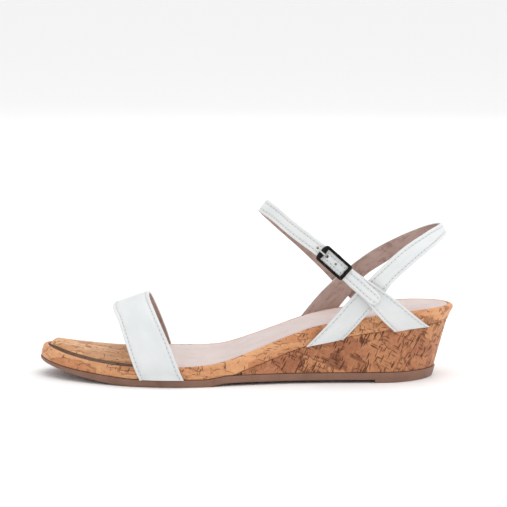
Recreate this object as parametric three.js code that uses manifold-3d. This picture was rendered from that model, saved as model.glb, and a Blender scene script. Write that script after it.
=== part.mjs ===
// A left wedge sandal: cork-covered wedge sole, toe strap, heel sling and a buckled ankle strap.
// Millimetres. X runs from the toe tip to the heel, -Y is the outer side of the foot, +Z is up.
import * as THREE from 'three';
import { mergeVertices } from 'three/addons/utils/BufferGeometryUtils.js';
import ManifoldModule from 'manifold-3d';

const wasm = await ManifoldModule();
wasm.setup();

// ---------- Driving sizes ----------
const SOLE_LENGTH = 244.5;
const BALL_WIDTH = 85.5;
const HEEL_WIDTH = 57.5;
const WEDGE_RISE = 31.7;       // how far the heel seat stands above the ball of the footbed
const TOE_SPRING = 9;          // how far the toe of the outsole stands off the ground
const HEEL_RAKE = 11.5;        // how far the heel's back slants forward at the ground
const RAKE_LENGTH = 59.5;      // the rear stretch of the sole that leans with it
const LIFT_LENGTH = 46.5;      // heel seat's back to the front of the top lift

// Places along the sole, from the toe tip
const SPRING_BEGINS = 0.237 * SOLE_LENGTH;  // the toe spring starts
const TREAD_ENDS = 0.401 * SOLE_LENGTH;     // the flat tread ends
const WAIST_BEGINS = 0.466 * SOLE_LENGTH;   // the waist is at its full height
const WEDGE_FRONT = 0.491 * SOLE_LENGTH;    // the thin end of the wedge
const SOCK_BEGINS = 0.237 * SOLE_LENGTH;    // the cork toe cover ends, under the toe strap
const HEEL_BREAST = SOLE_LENGTH - LIFT_LENGTH;

const OUTSOLE_THICKNESS = 4.3;
const TOE_THINNING = 2.2;        // how much thinner the outsole is at the toe tip
const THINNING_ENDS = 0.19 * SOLE_LENGTH;
const LIFT_THICKNESS = 1.5;
const RIM_HEIGHT = 9.4;        // the cork strip's full height along the wedge
const RIM_WALL = 1.3;
const LIP_WIDTH = 3;           // the strip's fold on to the footbed
const LIP_THICKNESS = 0.9;
const OUTSOLE_EDGE = 0.4;        // how far the outsole stands out past the rim
const WRAP_INSET = 0.5;        // how far the wedge's cork lies inside the rim
const WRAP_THICKNESS = 1.2;
const SOCK_THICKNESS = 0.8;
const FOAM_THICKNESS = 2;
const BOARD_THICKNESS = 1.8;
const FILLER_THICKNESS = 1.4;

const SHANK_WIDTH = 12;
const SHANK_THICKNESS = 1.2;
const SHANK_FRONT = WEDGE_FRONT + 6;
const SHANK_BACK = HEEL_BREAST + 2;
const NAIL_RADIUS = 0.9;
const NAIL_LENGTH = 16;
const NAIL_HEAD_RADIUS = 2.1;
const NAIL_HEAD_THICKNESS = 0.6;
const NAIL_CIRCLE_RADIUS = 10;
const NAIL_CIRCLE_X = SOLE_LENGTH - 29.5;
const NAIL_COUNT = 5;

const LEATHER = 1;             // outer strap leather
const LINING = 0.55;
const TAPE = 0.25;
const PLY_GAP = 0.15;          // glue line between the plies of one strap
const TAPE_MARGIN = 1.6;       // the tape stops short of the strap's edges

const BUCKLE_LENGTH = 19.8;    // along the strap
const BUCKLE_BAR = 1.9;        // the two end bars
const BUCKLE_RAIL = 1.2;       // the two side rails
const BUCKLE_THICKNESS = 1.3;
const BILLET_WIDTH = 8;        // the strap where it runs through the buckle
const BILLET_CLEARANCE = 0.4;  // to each side rail
const PIN_RADIUS = 0.6;
const PIN_CLEARANCE = 0.1;
const EAR_LENGTH = 2.6;        // the lugs that hold the pin
const PRONG_RADIUS = 0.65;
const PRONG_HOLE_RADIUS = 1.8;
const HOLE_PITCH = 7;
const HOLE_RADIUS = 0.9;
const TAIL_LENGTH = 35;        // pin to the strap's rounded tip
const BUCKLE_SLOPE = 42;       // degrees the strap falls towards the heel

const GAP = 0.3;               // clearance between neighbouring pieces
const RIM_CLEARANCE = 0.36;    // a strap's lining to the rim that it covers
const PLIES = LINING + PLY_GAP + TAPE + PLY_GAP + LEATHER;

// The footbed's plan: share of the length, then the outer and inner edges as shares of the local half width
const PLAN = [
  [0, -0.14, 0.14],
  [0.014, 0.147, 0.405],
  [0.045, 0.374, 0.608],
  [0.09, 0.578, 0.772],
  [0.14, 0.742, 0.88],
  [0.2, 0.894, 0.947],
  [0.265, 0.989, 0.973],
  [0.33, 1.029, 0.943],
  [0.395, 1.008, 0.868],
  [0.46, 0.985, 0.825],
  [0.525, 1.006, 0.843],
  [0.6, 1.053, 0.918],
  [0.68, 1.054, 0.96],
  [0.76, 1.03, 0.995],
  [0.83, 1.009, 0.991],
  [0.9, 0.922, 0.904],
  [0.953, 0.696, 0.682],
  [0.986, 0.383, 0.365],
  [1, 0, 0],
];
const BALL_ENDS = 0.38;
const HEEL_BEGINS = 0.66;

// The seat's climb behind the ball: share of the length, then share of the wedge's rise
const CLIMB = [
  [0.34, 0],
  [0.395, 0.02],
  [0.45, 0.085],
  [0.52, 0.275],
  [0.618, 0.565],
  [0.683, 0.715],
  [0.798, 0.86],
  [0.896, 0.955],
  [1, 1],
];

// ---------- Small tools ----------
const V = (x, y, z) => new THREE.Vector3(x, y, z);
const { smoothstep, degToRad, clamp, lerp } = THREE.MathUtils;

function bare(positions, index) {
  const geometry = new THREE.BufferGeometry();
  const coordinates = positions.flatMap((p) => p.toArray());
  geometry.setAttribute('position', new THREE.Float32BufferAttribute(coordinates, 3));
  geometry.setIndex(index);
  return geometry;
}

function signedVolume(positions, index) {
  let volume = 0;
  for (let i = 0; i < index.length; i += 3) {
    const [a, b, c] = [positions[index[i]], positions[index[i + 1]], positions[index[i + 2]]];
    volume += a.dot(b.clone().cross(c)) / 6;
  }
  return volume;
}

function facingOut(positions, index) {
  if (signedVolume(positions, index) > 0) return bare(positions, index);
  return bare(positions, index.slice().reverse());
}

function toSolid(source) {
  const geometry = source.clone();
  geometry.deleteAttribute('normal');
  geometry.deleteAttribute('uv');
  const merged = mergeVertices(geometry, 1e-4);
  return new wasm.Manifold(new wasm.Mesh({
    numProp: 3,
    vertProperties: new Float32Array(merged.attributes.position.array),
    triVerts: new Uint32Array(merged.index.array),
  }));
}

function toGeometry(solid) {
  const mesh = solid.getMesh();
  const geometry = new THREE.BufferGeometry();
  geometry.setAttribute('position', new THREE.BufferAttribute(mesh.vertProperties, 3));
  geometry.setIndex(new THREE.BufferAttribute(mesh.triVerts, 1));
  return geometry;
}

function cut(geometry, ...tools) {
  const solid = tools.reduce((rest, tool) => rest.subtract(toSolid(tool)), toSolid(geometry));
  return toGeometry(solid);
}

function join(geometry, ...others) {
  const solid = others.reduce((whole, other) => whole.add(toSolid(other)), toSolid(geometry));
  return toGeometry(solid);
}

// Keeps what lies between two distances from the toe tip
function between(geometry, front, back) {
  const reach = 4 * SOLE_LENGTH;
  const slab = new THREE.BoxGeometry(back - front, reach, reach).translate((front + back) / 2, 0, 0);
  return toGeometry(toSolid(geometry).intersect(toSolid(slab)));
}

// A smooth height along the sole, through points of (x, height)
function profile(points) {
  const samples = new THREE.SplineCurve(points.map(([x, z]) => new THREE.Vector2(x, z))).getPoints(200);
  return (x) => {
    if (x <= samples[0].x) return samples[0].y;
    const next = samples.findIndex((sample) => sample.x > x);
    if (next < 0) return samples[samples.length - 1].y;
    const [a, b] = [samples[next - 1], samples[next]];
    return lerp(a.y, b.y, (x - a.x) / (b.x - a.x));
  };
}

// ---------- Heights of the sole's layers ----------
const climb = profile(CLIMB.map(([x, z]) => [x * SOLE_LENGTH, z]));
const forepartHeight = LIP_THICKNESS + FOAM_THICKNESS + BOARD_THICKNESS + FILLER_THICKNESS + 4 * GAP;
const spring = (x) => TOE_SPRING * (clamp(SPRING_BEGINS - x, 0, SPRING_BEGINS) / SPRING_BEGINS) ** 1.7;
const waist = (x) => (LIFT_THICKNESS + GAP) * smoothstep(x, TREAD_ENDS, WAIST_BEGINS);
const outsoleBottom = (x) => spring(x) + waist(x);
const thinning = (x) => TOE_THINNING * (1 - smoothstep(x, 0, THINNING_ENDS));
const outsoleTop = (x) => outsoleBottom(x) + OUTSOLE_THICKNESS - thinning(x);
const seat = (x) => spring(x) + OUTSOLE_THICKNESS + forepartHeight + WEDGE_RISE * climb(x);
const rimBottom = (x) => Math.max(outsoleTop(x) + GAP, seat(x) - RIM_HEIGHT);
const foamTop = (x) => seat(x) - LIP_THICKNESS - GAP;
const boardTop = (x) => foamTop(x) - FOAM_THICKNESS - GAP;
const boardBottom = (x) => boardTop(x) - BOARD_THICKNESS;

// ---------- The plan outline ----------
const halfWidth = (share) => lerp(BALL_WIDTH, HEEL_WIDTH, smoothstep(share, BALL_ENDS, HEEL_BEGINS)) / 2;
const planPoint = ([share, outer, inner], side) =>
  V(share * SOLE_LENGTH, (side < 0 ? -outer : inner) * halfWidth(share), 0);

const planCurve = new THREE.CatmullRomCurve3([
  ...PLAN.map((row) => planPoint(row, -1)),
  ...PLAN.slice(1, -1).reverse().map((row) => planPoint(row, 1)),
], true);
const PLAN_STEPS = 72;
const outline = Array.from({ length: PLAN_STEPS }, (_, i) => {
  const tangent = planCurve.getTangent(i / PLAN_STEPS);
  return { point: planCurve.getPoint(i / PLAN_STEPS), out: V(tangent.y, -tangent.x, 0).normalize() };
});

// How far forward the raked back of the heel lies at a height; the top of the rim stays in place
function lean(x, z) {
  const top = seat(x) - RIM_WALL;
  return HEEL_RAKE * smoothstep(x, SOLE_LENGTH - RAKE_LENGTH, SOLE_LENGTH) * clamp(1 - z / top, 0, 1);
}

// One closed loop round the sole, moved out by offset, at the height that heightOf gives
function loop(offset, heightOf) {
  return outline.map(({ point, out }) => {
    const p = point.clone().addScaledVector(out, offset);
    p.z = heightOf(p.x);
    p.x -= lean(p.x, p.z);
    return p;
  });
}

function walls(count, loops, closed) {
  const index = [];
  for (let k = 0; k < (closed ? loops : loops - 1); k += 1) {
    for (let i = 0; i < count; i += 1) {
      const next = (i + 1) % count;
      const [a, b] = [k * count + i, k * count + next];
      const above = ((k + 1) % loops) * count;
      index.push(a, b, above + next, a, above + next, above + i);
    }
  }
  return index;
}

// A solid between the lowest and the highest loop
function stack(...loops) {
  const count = PLAN_STEPS;
  const top = (loops.length - 1) * count;
  const index = walls(count, loops.length, false);
  for (let i = 0; i < count / 2; i += 1) {
    const [a, b, c, d] = [i, i + 1, count - i - 1, (count - i) % count];
    if (b !== c) {
      index.push(top + a, top + b, top + c, a, c, b);
    }
    if (a !== d) {
      index.push(top + a, top + c, top + d, a, d, c);
    }
  }
  return facingOut(loops.flat(), index);
}

// A ring-shaped solid whose section passes through the loops in turn
function band(...loops) {
  return facingOut(loops.flat(), walls(PLAN_STEPS, loops.length, true));
}

// How far the rim reaches sideways at x, on the outer (-1) or inner (+1) side
function rimReach(x, side) {
  const half = PLAN_STEPS / 2;
  const edge = side < 0 ? outline.slice(0, half + 1) : [...outline.slice(half), outline[0]].reverse();
  const next = edge.findIndex(({ point }) => point.x > x);
  const [a, b] = [edge[next - 1].point, edge[next].point];
  return Math.abs(lerp(a.y, b.y, (x - a.x) / (b.x - a.x)));
}

// ---------- Strap tools ----------
// Rows of points across a strap from one edge to the other. Looking along the rows from outside
// the foot, the first edge lies on the left.
function rowsBetween(leftPoints, rightPoints, steps, across) {
  const [left, right] = [leftPoints, rightPoints].map((points) => new THREE.CatmullRomCurve3(points));
  return Array.from({ length: steps + 1 }, (_, i) => {
    const [a, b] = [left.getPoint(i / steps), right.getPoint(i / steps)];
    return Array.from({ length: across + 1 }, (__, j) => a.clone().lerp(b, j / across));
  });
}

// Moves the points that lie beside the rim out to its surface
function clearOfRim(rows) {
  for (const p of rows.flat()) {
    const side = Math.sign(p.y);
    if (p.z < seat(p.x) + GAP) p.y = side * Math.max(Math.abs(p.y), rimReach(p.x, side) + RIM_CLEARANCE);
  }
  return rows;
}

function normalAt(rows, i, j) {
  const along = rows[Math.min(i + 1, rows.length - 1)][j].clone().sub(rows[Math.max(i - 1, 0)][j]);
  const row = rows[i];
  const across = row[Math.min(j + 1, row.length - 1)].clone().sub(row[Math.max(j - 1, 0)]);
  return along.cross(across).normalize();
}

// The same rows, moved off their surface by a distance
const lifted = (rows, distance) =>
  rows.map((row, i) => row.map((p, j) => p.clone().addScaledVector(normalAt(rows, i, j), distance)));

// Draws the rows in from both edges, along the rows themselves
const narrowed = (rows, margin) => rows.map((row) => {
  const last = row.length - 1;
  const share = margin / row[0].distanceTo(row[last]);
  return row.map((_, j) => {
    const place = lerp(share, 1 - share, j / last) * last;
    const k = Math.min(Math.floor(place), last - 1);
    return row[k].clone().lerp(row[k + 1], place - k);
  });
});

// A closed sheet between two faces with the same rows
function sheet(near, far) {
  const [rows, columns] = [near.length, near[0].length];
  const positions = [...near.flat(), ...far.flat()];
  const other = rows * columns;
  const at = (i, j) => i * columns + j;
  const index = [];
  for (let i = 0; i < rows - 1; i += 1) {
    for (let j = 0; j < columns - 1; j += 1) {
      const [a, b, c, d] = [at(i, j), at(i + 1, j), at(i + 1, j + 1), at(i, j + 1)];
      index.push(a, c, b, a, d, c, other + a, other + b, other + c, other + a, other + c, other + d);
    }
  }
  const rim = [];
  for (let i = 0; i < rows - 1; i += 1) rim.push(at(i, 0));
  for (let j = 0; j < columns - 1; j += 1) rim.push(at(rows - 1, j));
  for (let i = rows - 1; i > 0; i -= 1) rim.push(at(i, columns - 1));
  for (let j = columns - 1; j > 0; j -= 1) rim.push(at(0, j));
  rim.forEach((a, k) => {
    const b = rim[(k + 1) % rim.length];
    index.push(a, b, other + b, a, other + b, other + a);
  });
  return facingOut(positions, index);
}

// One ply of a strap, at a distance off the base rows; margin is how far it stops short of the edges
const ply = (rows, from, thickness, margin = 0) =>
  sheet(narrowed(lifted(rows, from), margin), narrowed(lifted(rows, from + thickness), margin));

// ---------- Parts of the sole ----------
const outsole = () => stack(loop(OUTSOLE_EDGE, outsoleBottom), loop(OUTSOLE_EDGE, outsoleTop));

function heelTopLift() {
  const whole = stack(loop(OUTSOLE_EDGE, () => 0), loop(OUTSOLE_EDGE, () => LIFT_THICKNESS));
  return between(whole, HEEL_BREAST, 2 * SOLE_LENGTH);
}

function forepartFiller() {
  const inset = -(RIM_WALL + GAP);
  const whole = stack(
    loop(inset, (x) => outsoleTop(x) + GAP),
    loop(inset, (x) => Math.min(boardBottom(x) - GAP, outsoleTop(x) + forepartHeight)),
  );
  return between(whole, -SOLE_LENGTH, WEDGE_FRONT - 2 * GAP);
}

// A strip that follows the underside of the insole board
function waistStrip(front, back, reach, thickness, below) {
  const steps = 14;
  const rows = Array.from({ length: steps + 1 }, (_, i) => {
    const x = lerp(front, back, i / steps);
    return [V(x, -reach, boardBottom(x) - below), V(x, reach, boardBottom(x) - below)];
  });
  return sheet(rows, rows.map((row) => row.map((p) => p.clone().setZ(p.z - thickness))));
}

const steelShank = () => waistStrip(SHANK_FRONT, SHANK_BACK, SHANK_WIDTH / 2, SHANK_THICKNESS, GAP);

const nailPlaces = Array.from({ length: NAIL_COUNT }, (_, i) => {
  const angle = (2 * Math.PI * i) / NAIL_COUNT;
  const x = NAIL_CIRCLE_X + NAIL_CIRCLE_RADIUS * Math.cos(angle);
  return V(x, NAIL_CIRCLE_RADIUS * Math.sin(angle), boardTop(x) - 1.5 * GAP);
});

function upright(radius, top, height, place) {
  return new THREE.CylinderGeometry(radius, radius, height, 16)
    .rotateX(Math.PI / 2)
    .translate(place.x, place.y, top - height / 2);
}

function heelNail(place) {
  const head = upright(NAIL_HEAD_RADIUS, place.z, NAIL_HEAD_THICKNESS, place);
  return join(head, upright(NAIL_RADIUS, place.z, NAIL_LENGTH, place));
}

function nailHoles(place) {
  const above = OUTSOLE_THICKNESS;
  const sinking = upright(NAIL_HEAD_RADIUS + GAP, place.z + above, above + NAIL_HEAD_THICKNESS + GAP, place);
  return [sinking, upright(NAIL_RADIUS + GAP, place.z, NAIL_LENGTH + GAP, place)];
}

function insoleBoard() {
  const inset = -(RIM_WALL + GAP);
  return cut(stack(loop(inset, boardBottom), loop(inset, boardTop)), ...nailPlaces.flatMap(nailHoles));
}

function wedgeCore() {
  const inset = -(WRAP_INSET + WRAP_THICKNESS + GAP);
  const top = (x) => Math.max(boardBottom(x) - GAP, outsoleTop(x) + 2 * GAP);
  const whole = stack(loop(inset, (x) => outsoleTop(x) + GAP), loop(inset, top));
  const pocket = waistStrip(
    SHANK_FRONT - GAP, SHANK_BACK + GAP, SHANK_WIDTH / 2 + GAP,
    SHANK_THICKNESS + GAP + RIM_HEIGHT, GAP - RIM_HEIGHT,
  );
  return cut(between(whole, WEDGE_FRONT, 2 * SOLE_LENGTH), pocket, ...nailPlaces.flatMap(nailHoles));
}

function wedgeCorkWrap() {
  const [outer, inner] = [-WRAP_INSET, -(WRAP_INSET + WRAP_THICKNESS)];
  const bottom = (x) => outsoleTop(x) + GAP;
  const top = (x) => Math.max(rimBottom(x) - GAP, bottom(x) + GAP);
  const whole = band(loop(outer, bottom), loop(outer, top), loop(inner, top), loop(inner, bottom));
  return between(whole, WEDGE_FRONT, 2 * SOLE_LENGTH);
}

function rimCorkWrap() {
  const lipUnder = (x) => seat(x) - LIP_THICKNESS;
  return band(
    loop(0, rimBottom),
    loop(0, (x) => seat(x) - RIM_WALL),
    loop(-0.4 * RIM_WALL, (x) => seat(x) - 0.3 * RIM_WALL),
    loop(-RIM_WALL, seat),
    loop(-LIP_WIDTH, seat),
    loop(-LIP_WIDTH, lipUnder),
    loop(-RIM_WALL, lipUnder),
    loop(-RIM_WALL, rimBottom),
  );
}

function footbedFoam() {
  const inset = -(RIM_WALL + GAP);
  return stack(loop(inset, (x) => foamTop(x) - FOAM_THICKNESS), loop(inset, foamTop));
}

function topCover(front, back) {
  const inset = -(LIP_WIDTH + GAP);
  const bottom = (x) => foamTop(x) + GAP / 2;
  const whole = stack(loop(inset, bottom), loop(inset, (x) => bottom(x) + SOCK_THICKNESS));
  return between(whole, front, back);
}

// ---------- Straps ----------
// A place is a share of the length, a share of the half width there, and a height above the seat
function over(share, sideways, above) {
  const x = share * SOLE_LENGTH;
  return V(x, sideways * halfWidth(share), seat(x) + above);
}

// The same, further out by the thickness of the heel sling, which passes underneath
function overSling(share, sideways, above) {
  const p = over(share, sideways, above);
  p.y += Math.sign(sideways) * (PLIES + 2 * GAP);
  return p;
}

// A strap's bottom corner beside the rim: on the outsole's edge, or on the seam under the rim
function beside(share, side, heightOf) {
  const x = share * SOLE_LENGTH;
  return V(x, side * (rimReach(x, side) + RIM_CLEARANCE), heightOf(x));
}
const onOutsole = (share, side) => beside(share, side, (x) => outsoleTop(x) + GAP);
const onSeam = (share, side) => beside(share, side, rimBottom);

// The toe strap runs from the outer edge of the outsole over the toes to the inner edge
function toeStrapRows() {
  const front = [
    onOutsole(0.2495, -1), over(0.2331, -1.029, 2.4), over(0.2168, -0.966, 12.8),
    over(0.1988, -0.772, 23.8), over(0.184, -0.398, 27.5),
    over(0.18, 0, 28), over(0.1824, 0.374, 26.5), over(0.1914, 0.678, 21.5),
    over(0.2065, 0.889, 11.1), over(0.2184, 0.973, 1.8), onOutsole(0.2249, 1),
  ];
  const rear = [
    onOutsole(0.3538, -1), over(0.3378, -1.053, 2.4), over(0.3166, -0.971, 14.9),
    over(0.2904, -0.772, 27.7), over(0.2724, -0.398, 34.7),
    over(0.2667, 0, 36.4), over(0.2683, 0.351, 34), over(0.2781, 0.643, 26),
    over(0.2953, 0.842, 13.4), over(0.3092, 0.95, 2.4), onOutsole(0.319, 1),
  ];
  return clearOfRim(rowsBetween(rear, front, 44, 4));
}

// The heel sling runs from the outer seam round the back of the heel to the inner seam
function heelSlingRows() {
  const front = [
    onSeam(0.6442, -1), over(0.6973, -1.11, 1), over(0.7554, -1.12, 15.1),
    over(0.8098, -1.092, 26.7), over(0.8699, -0.96, 37.8),
    over(0.9325, -0.574, 45.1), over(0.9677, 0, 47.5), over(0.9407, 0.487, 44.8),
    over(0.8822, 0.835, 38.9), over(0.811, 1.009, 31.1),
    over(0.7546, 1.05, 22.7), over(0.6871, 1.05, 10.5), onSeam(0.5971, 1),
  ];
  const rear = [
    onSeam(0.7342, -1), over(0.7714, -1.117, -1.3), over(0.809, -1.123, 7.5),
    over(0.8507, -1.078, 19.3), over(0.908, -0.904, 29.9),
    over(0.9595, -0.522, 37.8), over(0.98, 0, 40.7), over(0.962, 0.452, 38.1),
    over(0.9121, 0.751, 32.8), over(0.8483, 0.974, 23.2),
    over(0.7951, 1.05, 15.8), over(0.7526, 1.057, 4.8), onSeam(0.6953, 1),
  ];
  return clearOfRim(rowsBetween(rear, front, 60, 3));
}

// Places near the buckle: along the strap towards the heel, down across it, and out from the pin's axis
const alongBuckle = V(Math.cos(degToRad(BUCKLE_SLOPE)), 0, -Math.sin(degToRad(BUCKLE_SLOPE)));
const outOfBuckle = V(0, -1, 0);
const acrossBuckle = alongBuckle.clone().cross(outOfBuckle);
const pinPlace = overSling(0.7097, -1.123, 37);
const atBuckle = (along, across, out) => pinPlace.clone()
  .addScaledVector(alongBuckle, along)
  .addScaledVector(acrossBuckle, across)
  .addScaledVector(outOfBuckle, out);
const buckleFrame = new THREE.Matrix4()
  .makeBasis(alongBuckle, acrossBuckle.clone().negate(), outOfBuckle.clone())
  .setPosition(pinPlace);

const LOOP_RADIUS = PIN_RADIUS + GAP;                       // inside of the leather loop round the pin
const BILLET_LEVEL = LOOP_RADIUS + LEATHER + GAP;           // the ankle strap lies on the buckle strap
const FRAME_LEVEL = BILLET_LEVEL + LINING + PLY_GAP + LEATHER + GAP;
const INNER_WIDTH = BILLET_WIDTH + 2 * BILLET_CLEARANCE;
const OUTER_WIDTH = INNER_WIDTH + 2 * BUCKLE_RAIL;

// The short outer strap, from the seam up to just behind the buckle's pin
function buckleStrapRows(lastAlong) {
  const half = BILLET_WIDTH / 2;
  const front = [
    onSeam(0.8532, -1), overSling(0.8164, -1.12, 0.9), overSling(0.7771, -1.123, 13.3),
    atBuckle(16, half + 0.6, 0), atBuckle(lastAlong, half, 0),
  ];
  const rear = [
    onSeam(0.9382, -1), overSling(0.8875, -1.019, 2.3), overSling(0.8344, -1.123, 14.5),
    atBuckle(16, -half - 0.6, 0), atBuckle(lastAlong, -half, 0),
  ];
  return clearOfRim(rowsBetween(rear, front, 22, 4));
}

function buckleStrapLining() {
  return ply(buckleStrapRows(9), 0, LINING);
}

// The outer ply turns round the pin and back under itself, with a slot for the prong's eye
function buckleStrapOuter() {
  const rows = lifted(buckleStrapRows(6), LOOP_RADIUS);
  const turn = Array.from({ length: 9 }, (_, i) => Math.PI * (0.5 + i / 8));
  const places = [
    [3, LOOP_RADIUS],
    ...turn.map((angle) => [LOOP_RADIUS * Math.cos(angle), LOOP_RADIUS * Math.sin(angle)]),
    [3, -LOOP_RADIUS],
    [7, -0.7 * LOOP_RADIUS],
  ];
  const columns = rows[0].length - 1;
  for (const [along, out] of places) {
    rows.push(rows[0].map((_, j) => atBuckle(along, lerp(-1, 1, j / columns) * BILLET_WIDTH / 2, out)));
  }
  const slot = new THREE.BoxGeometry(7, 4 * PRONG_RADIUS + 2 * GAP, 9)
    .translate(-0.5, 0, 0)
    .applyMatrix4(buckleFrame);
  return cut(ply(rows, 0, LEATHER), slot);
}

// The long ankle strap, from the inner seam over the instep, through the buckle to its tip
function ankleStrapRows() {
  const half = BILLET_WIDTH / 2;
  const billet = [
    [-15, 1, BILLET_LEVEL - 1.6], [-9.5, 1, BILLET_LEVEL - 0.5], [-4, 1, BILLET_LEVEL],
    [4, 1, BILLET_LEVEL],
    [14, 1, BILLET_LEVEL], [TAIL_LENGTH - 8, 1, BILLET_LEVEL], [TAIL_LENGTH - 3.4, 0.98, BILLET_LEVEL],
    [TAIL_LENGTH - 1, 0.72, BILLET_LEVEL], [TAIL_LENGTH, 0.36, BILLET_LEVEL],
  ];
  const front = [
    onSeam(0.8, 1), overSling(0.7624, 1.047, 2.2), overSling(0.731, 1.08, 10.5),
    overSling(0.695, 1.07, 21.5), over(0.6325, 0.91, 41.2), over(0.5715, 0.437, 61.5),
    over(0.5347, 0, 75.4), over(0.5628, -0.414, 68.6), over(0.6094, -0.851, 56.2),
    ...billet.map(([along, share, out]) => atBuckle(along, share * half, out)),
  ];
  const rear = [
    onSeam(0.8851, 1), overSling(0.836, 1.005, 3), overSling(0.7779, 1.068, 14),
    overSling(0.723, 1.07, 27), over(0.6591, 0.922, 46), over(0.5981, 0.459, 65.8),
    over(0.5575, 0, 80.2), over(0.5824, -0.446, 73), over(0.6282, -0.903, 61),
    ...billet.map(([along, share, out]) => atBuckle(along, -share * half, out)),
  ];
  return clearOfRim(rowsBetween(front, rear, 85, 3));
}

function billetHoles() {
  const deep = 12;
  const hole = (along, radius) => new THREE.CylinderGeometry(radius, radius, deep, 16)
    .rotateX(Math.PI / 2)
    .translate(along, 0, BILLET_LEVEL)
    .applyMatrix4(buckleFrame);
  const prongAt = -5.8;
  return [
    hole(prongAt, PRONG_HOLE_RADIUS),
    ...[-1, 1, 2].map((step) => hole(prongAt + step * HOLE_PITCH, HOLE_RADIUS)),
  ];
}

// ---------- Buckle ----------
function buckleFramePiece() {
  const plate = (length, width, thickness) => new THREE.BoxGeometry(length, width, thickness)
    .translate(0, 0, FRAME_LEVEL + BUCKLE_THICKNESS / 2);
  const window = plate(BUCKLE_LENGTH - 2 * BUCKLE_BAR, INNER_WIDTH, 3 * BUCKLE_THICKNESS);
  const earBottom = -(PIN_RADIUS + 2 * GAP);
  const earTop = FRAME_LEVEL + BUCKLE_THICKNESS / 2;
  const ear = (side) => new THREE.BoxGeometry(EAR_LENGTH, BUCKLE_RAIL, earTop - earBottom)
    .translate(0, side * (INNER_WIDTH + BUCKLE_RAIL) / 2, (earTop + earBottom) / 2);
  const frame = join(cut(plate(BUCKLE_LENGTH, OUTER_WIDTH, BUCKLE_THICKNESS), window), ear(-1), ear(1));
  const holeRadius = PIN_RADIUS + PIN_CLEARANCE;
  const pinHole = new THREE.CylinderGeometry(holeRadius, holeRadius, 2 * OUTER_WIDTH, 20);
  return cut(frame, pinHole).applyMatrix4(buckleFrame);
}

const bucklePin = () => {
  const pin = new THREE.CylinderGeometry(PIN_RADIUS, PIN_RADIUS, OUTER_WIDTH, 20);
  return pin.applyMatrix4(buckleFrame);
};

// The prong's eye turns on the pin; its shaft comes up through the strap and rests on the end bar
function buckleProng() {
  const eyeWidth = 3.4 * PRONG_RADIUS;
  const eyeInside = PIN_RADIUS + PIN_CLEARANCE;
  const ring = new THREE.Shape().absarc(0, 0, eyeInside + 0.75, 0, 2 * Math.PI);
  ring.holes.push(new THREE.Path().absarc(0, 0, eyeInside, 0, 2 * Math.PI, true));
  const eye = new THREE.ExtrudeGeometry(ring, { depth: eyeWidth, bevelEnabled: false, curveSegments: 20 })
    .translate(0, 0, -eyeWidth / 2)
    .rotateX(Math.PI / 2);
  const rest = FRAME_LEVEL + BUCKLE_THICKNESS + GAP + PRONG_RADIUS;
  const route = new THREE.CatmullRomCurve3([
    V(-1.2, 0, 0.1), V(-2.6, 0, 0.2), V(-4, 0, 0.7), V(-5.6, 0, 0.5 * rest), V(-7.2, 0, rest - 0.4),
    V(-8.8, 0, rest + 0.1), V(-BUCKLE_LENGTH / 2 - 0.9, 0, rest - 0.1),
  ]);
  const round = new THREE.Shape().absarc(0, 0, PRONG_RADIUS, 0, 2 * Math.PI);
  const shaft = new THREE.ExtrudeGeometry(round, { steps: 22, extrudePath: route, curveSegments: 6 });
  return join(eye, shaft).applyMatrix4(buckleFrame);
}

// ---------- Materials ----------
const finish = (colour, roughness, metalness = 0) =>
  new THREE.MeshStandardMaterial({ color: colour, roughness, metalness });
const cork = finish(0xc99a6b, 0.7);
const corkCore = finish(0xb07f55, 0.9);
const whiteLeather = finish(0xeceeee, 0.45);
const liningLeather = finish(0xa98a80, 0.75);
const sockLeather = finish(0xdcc9c2, 0.6);
const brownRubber = finish(0x8a5f48, 0.6);
const fibreBoard = finish(0x9a8468, 0.9);
const softFoam = finish(0xe8e2d2, 0.95);
const webbing = finish(0xf2f2ea, 0.9);
const springSteel = finish(0x8c9096, 0.35, 1);
const gunmetal = finish(0x2a2826, 0.3, 1);
const brightSteel = finish(0xc4c6c8, 0.25, 1);

// ---------- The sandal ----------
const sandal = new THREE.Group();

function add(name, geometry, material) {
  const mesh = new THREE.Mesh(geometry, material);
  mesh.name = name;
  sandal.add(mesh);
}

add('heel_top_lift', heelTopLift(), brownRubber);
add('outsole', outsole(), brownRubber);
add('wedge_core', wedgeCore(), corkCore);
add('wedge_cork_wrap', wedgeCorkWrap(), cork);
add('forepart_filler', forepartFiller(), corkCore);
add('insole_board', insoleBoard(), fibreBoard);
add('steel_shank', steelShank(), springSteel);
nailPlaces.forEach((place, i) => add(`heel_nail_${i + 1}`, heelNail(place), springSteel));
add('footbed_foam', footbedFoam(), softFoam);
add('rim_cork_wrap', rimCorkWrap(), cork);
add('toe_cork_cover', topCover(-SOLE_LENGTH, SOCK_BEGINS - GAP / 2), cork);
add('sock_lining', topCover(SOCK_BEGINS + GAP / 2, 2 * SOLE_LENGTH), sockLeather);

for (const [strap, rows] of [['toe_strap', toeStrapRows()], ['heel_sling', heelSlingRows()]]) {
  const tapeFrom = LINING + PLY_GAP;
  add(`${strap}_lining`, ply(rows, 0, LINING), liningLeather);
  add(`${strap}_tape`, ply(rows, tapeFrom, TAPE, TAPE_MARGIN), webbing);
  add(`${strap}_outer`, ply(rows, tapeFrom + TAPE + PLY_GAP, LEATHER), whiteLeather);
}
add('buckle_strap_lining', buckleStrapLining(), liningLeather);
add('buckle_strap_outer', buckleStrapOuter(), whiteLeather);

const ankleRows = ankleStrapRows();
add('ankle_strap_lining', cut(ply(ankleRows, 0, LINING), ...billetHoles()), liningLeather);
add('ankle_strap_outer', cut(ply(ankleRows, LINING + PLY_GAP, LEATHER), ...billetHoles()), whiteLeather);

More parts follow.
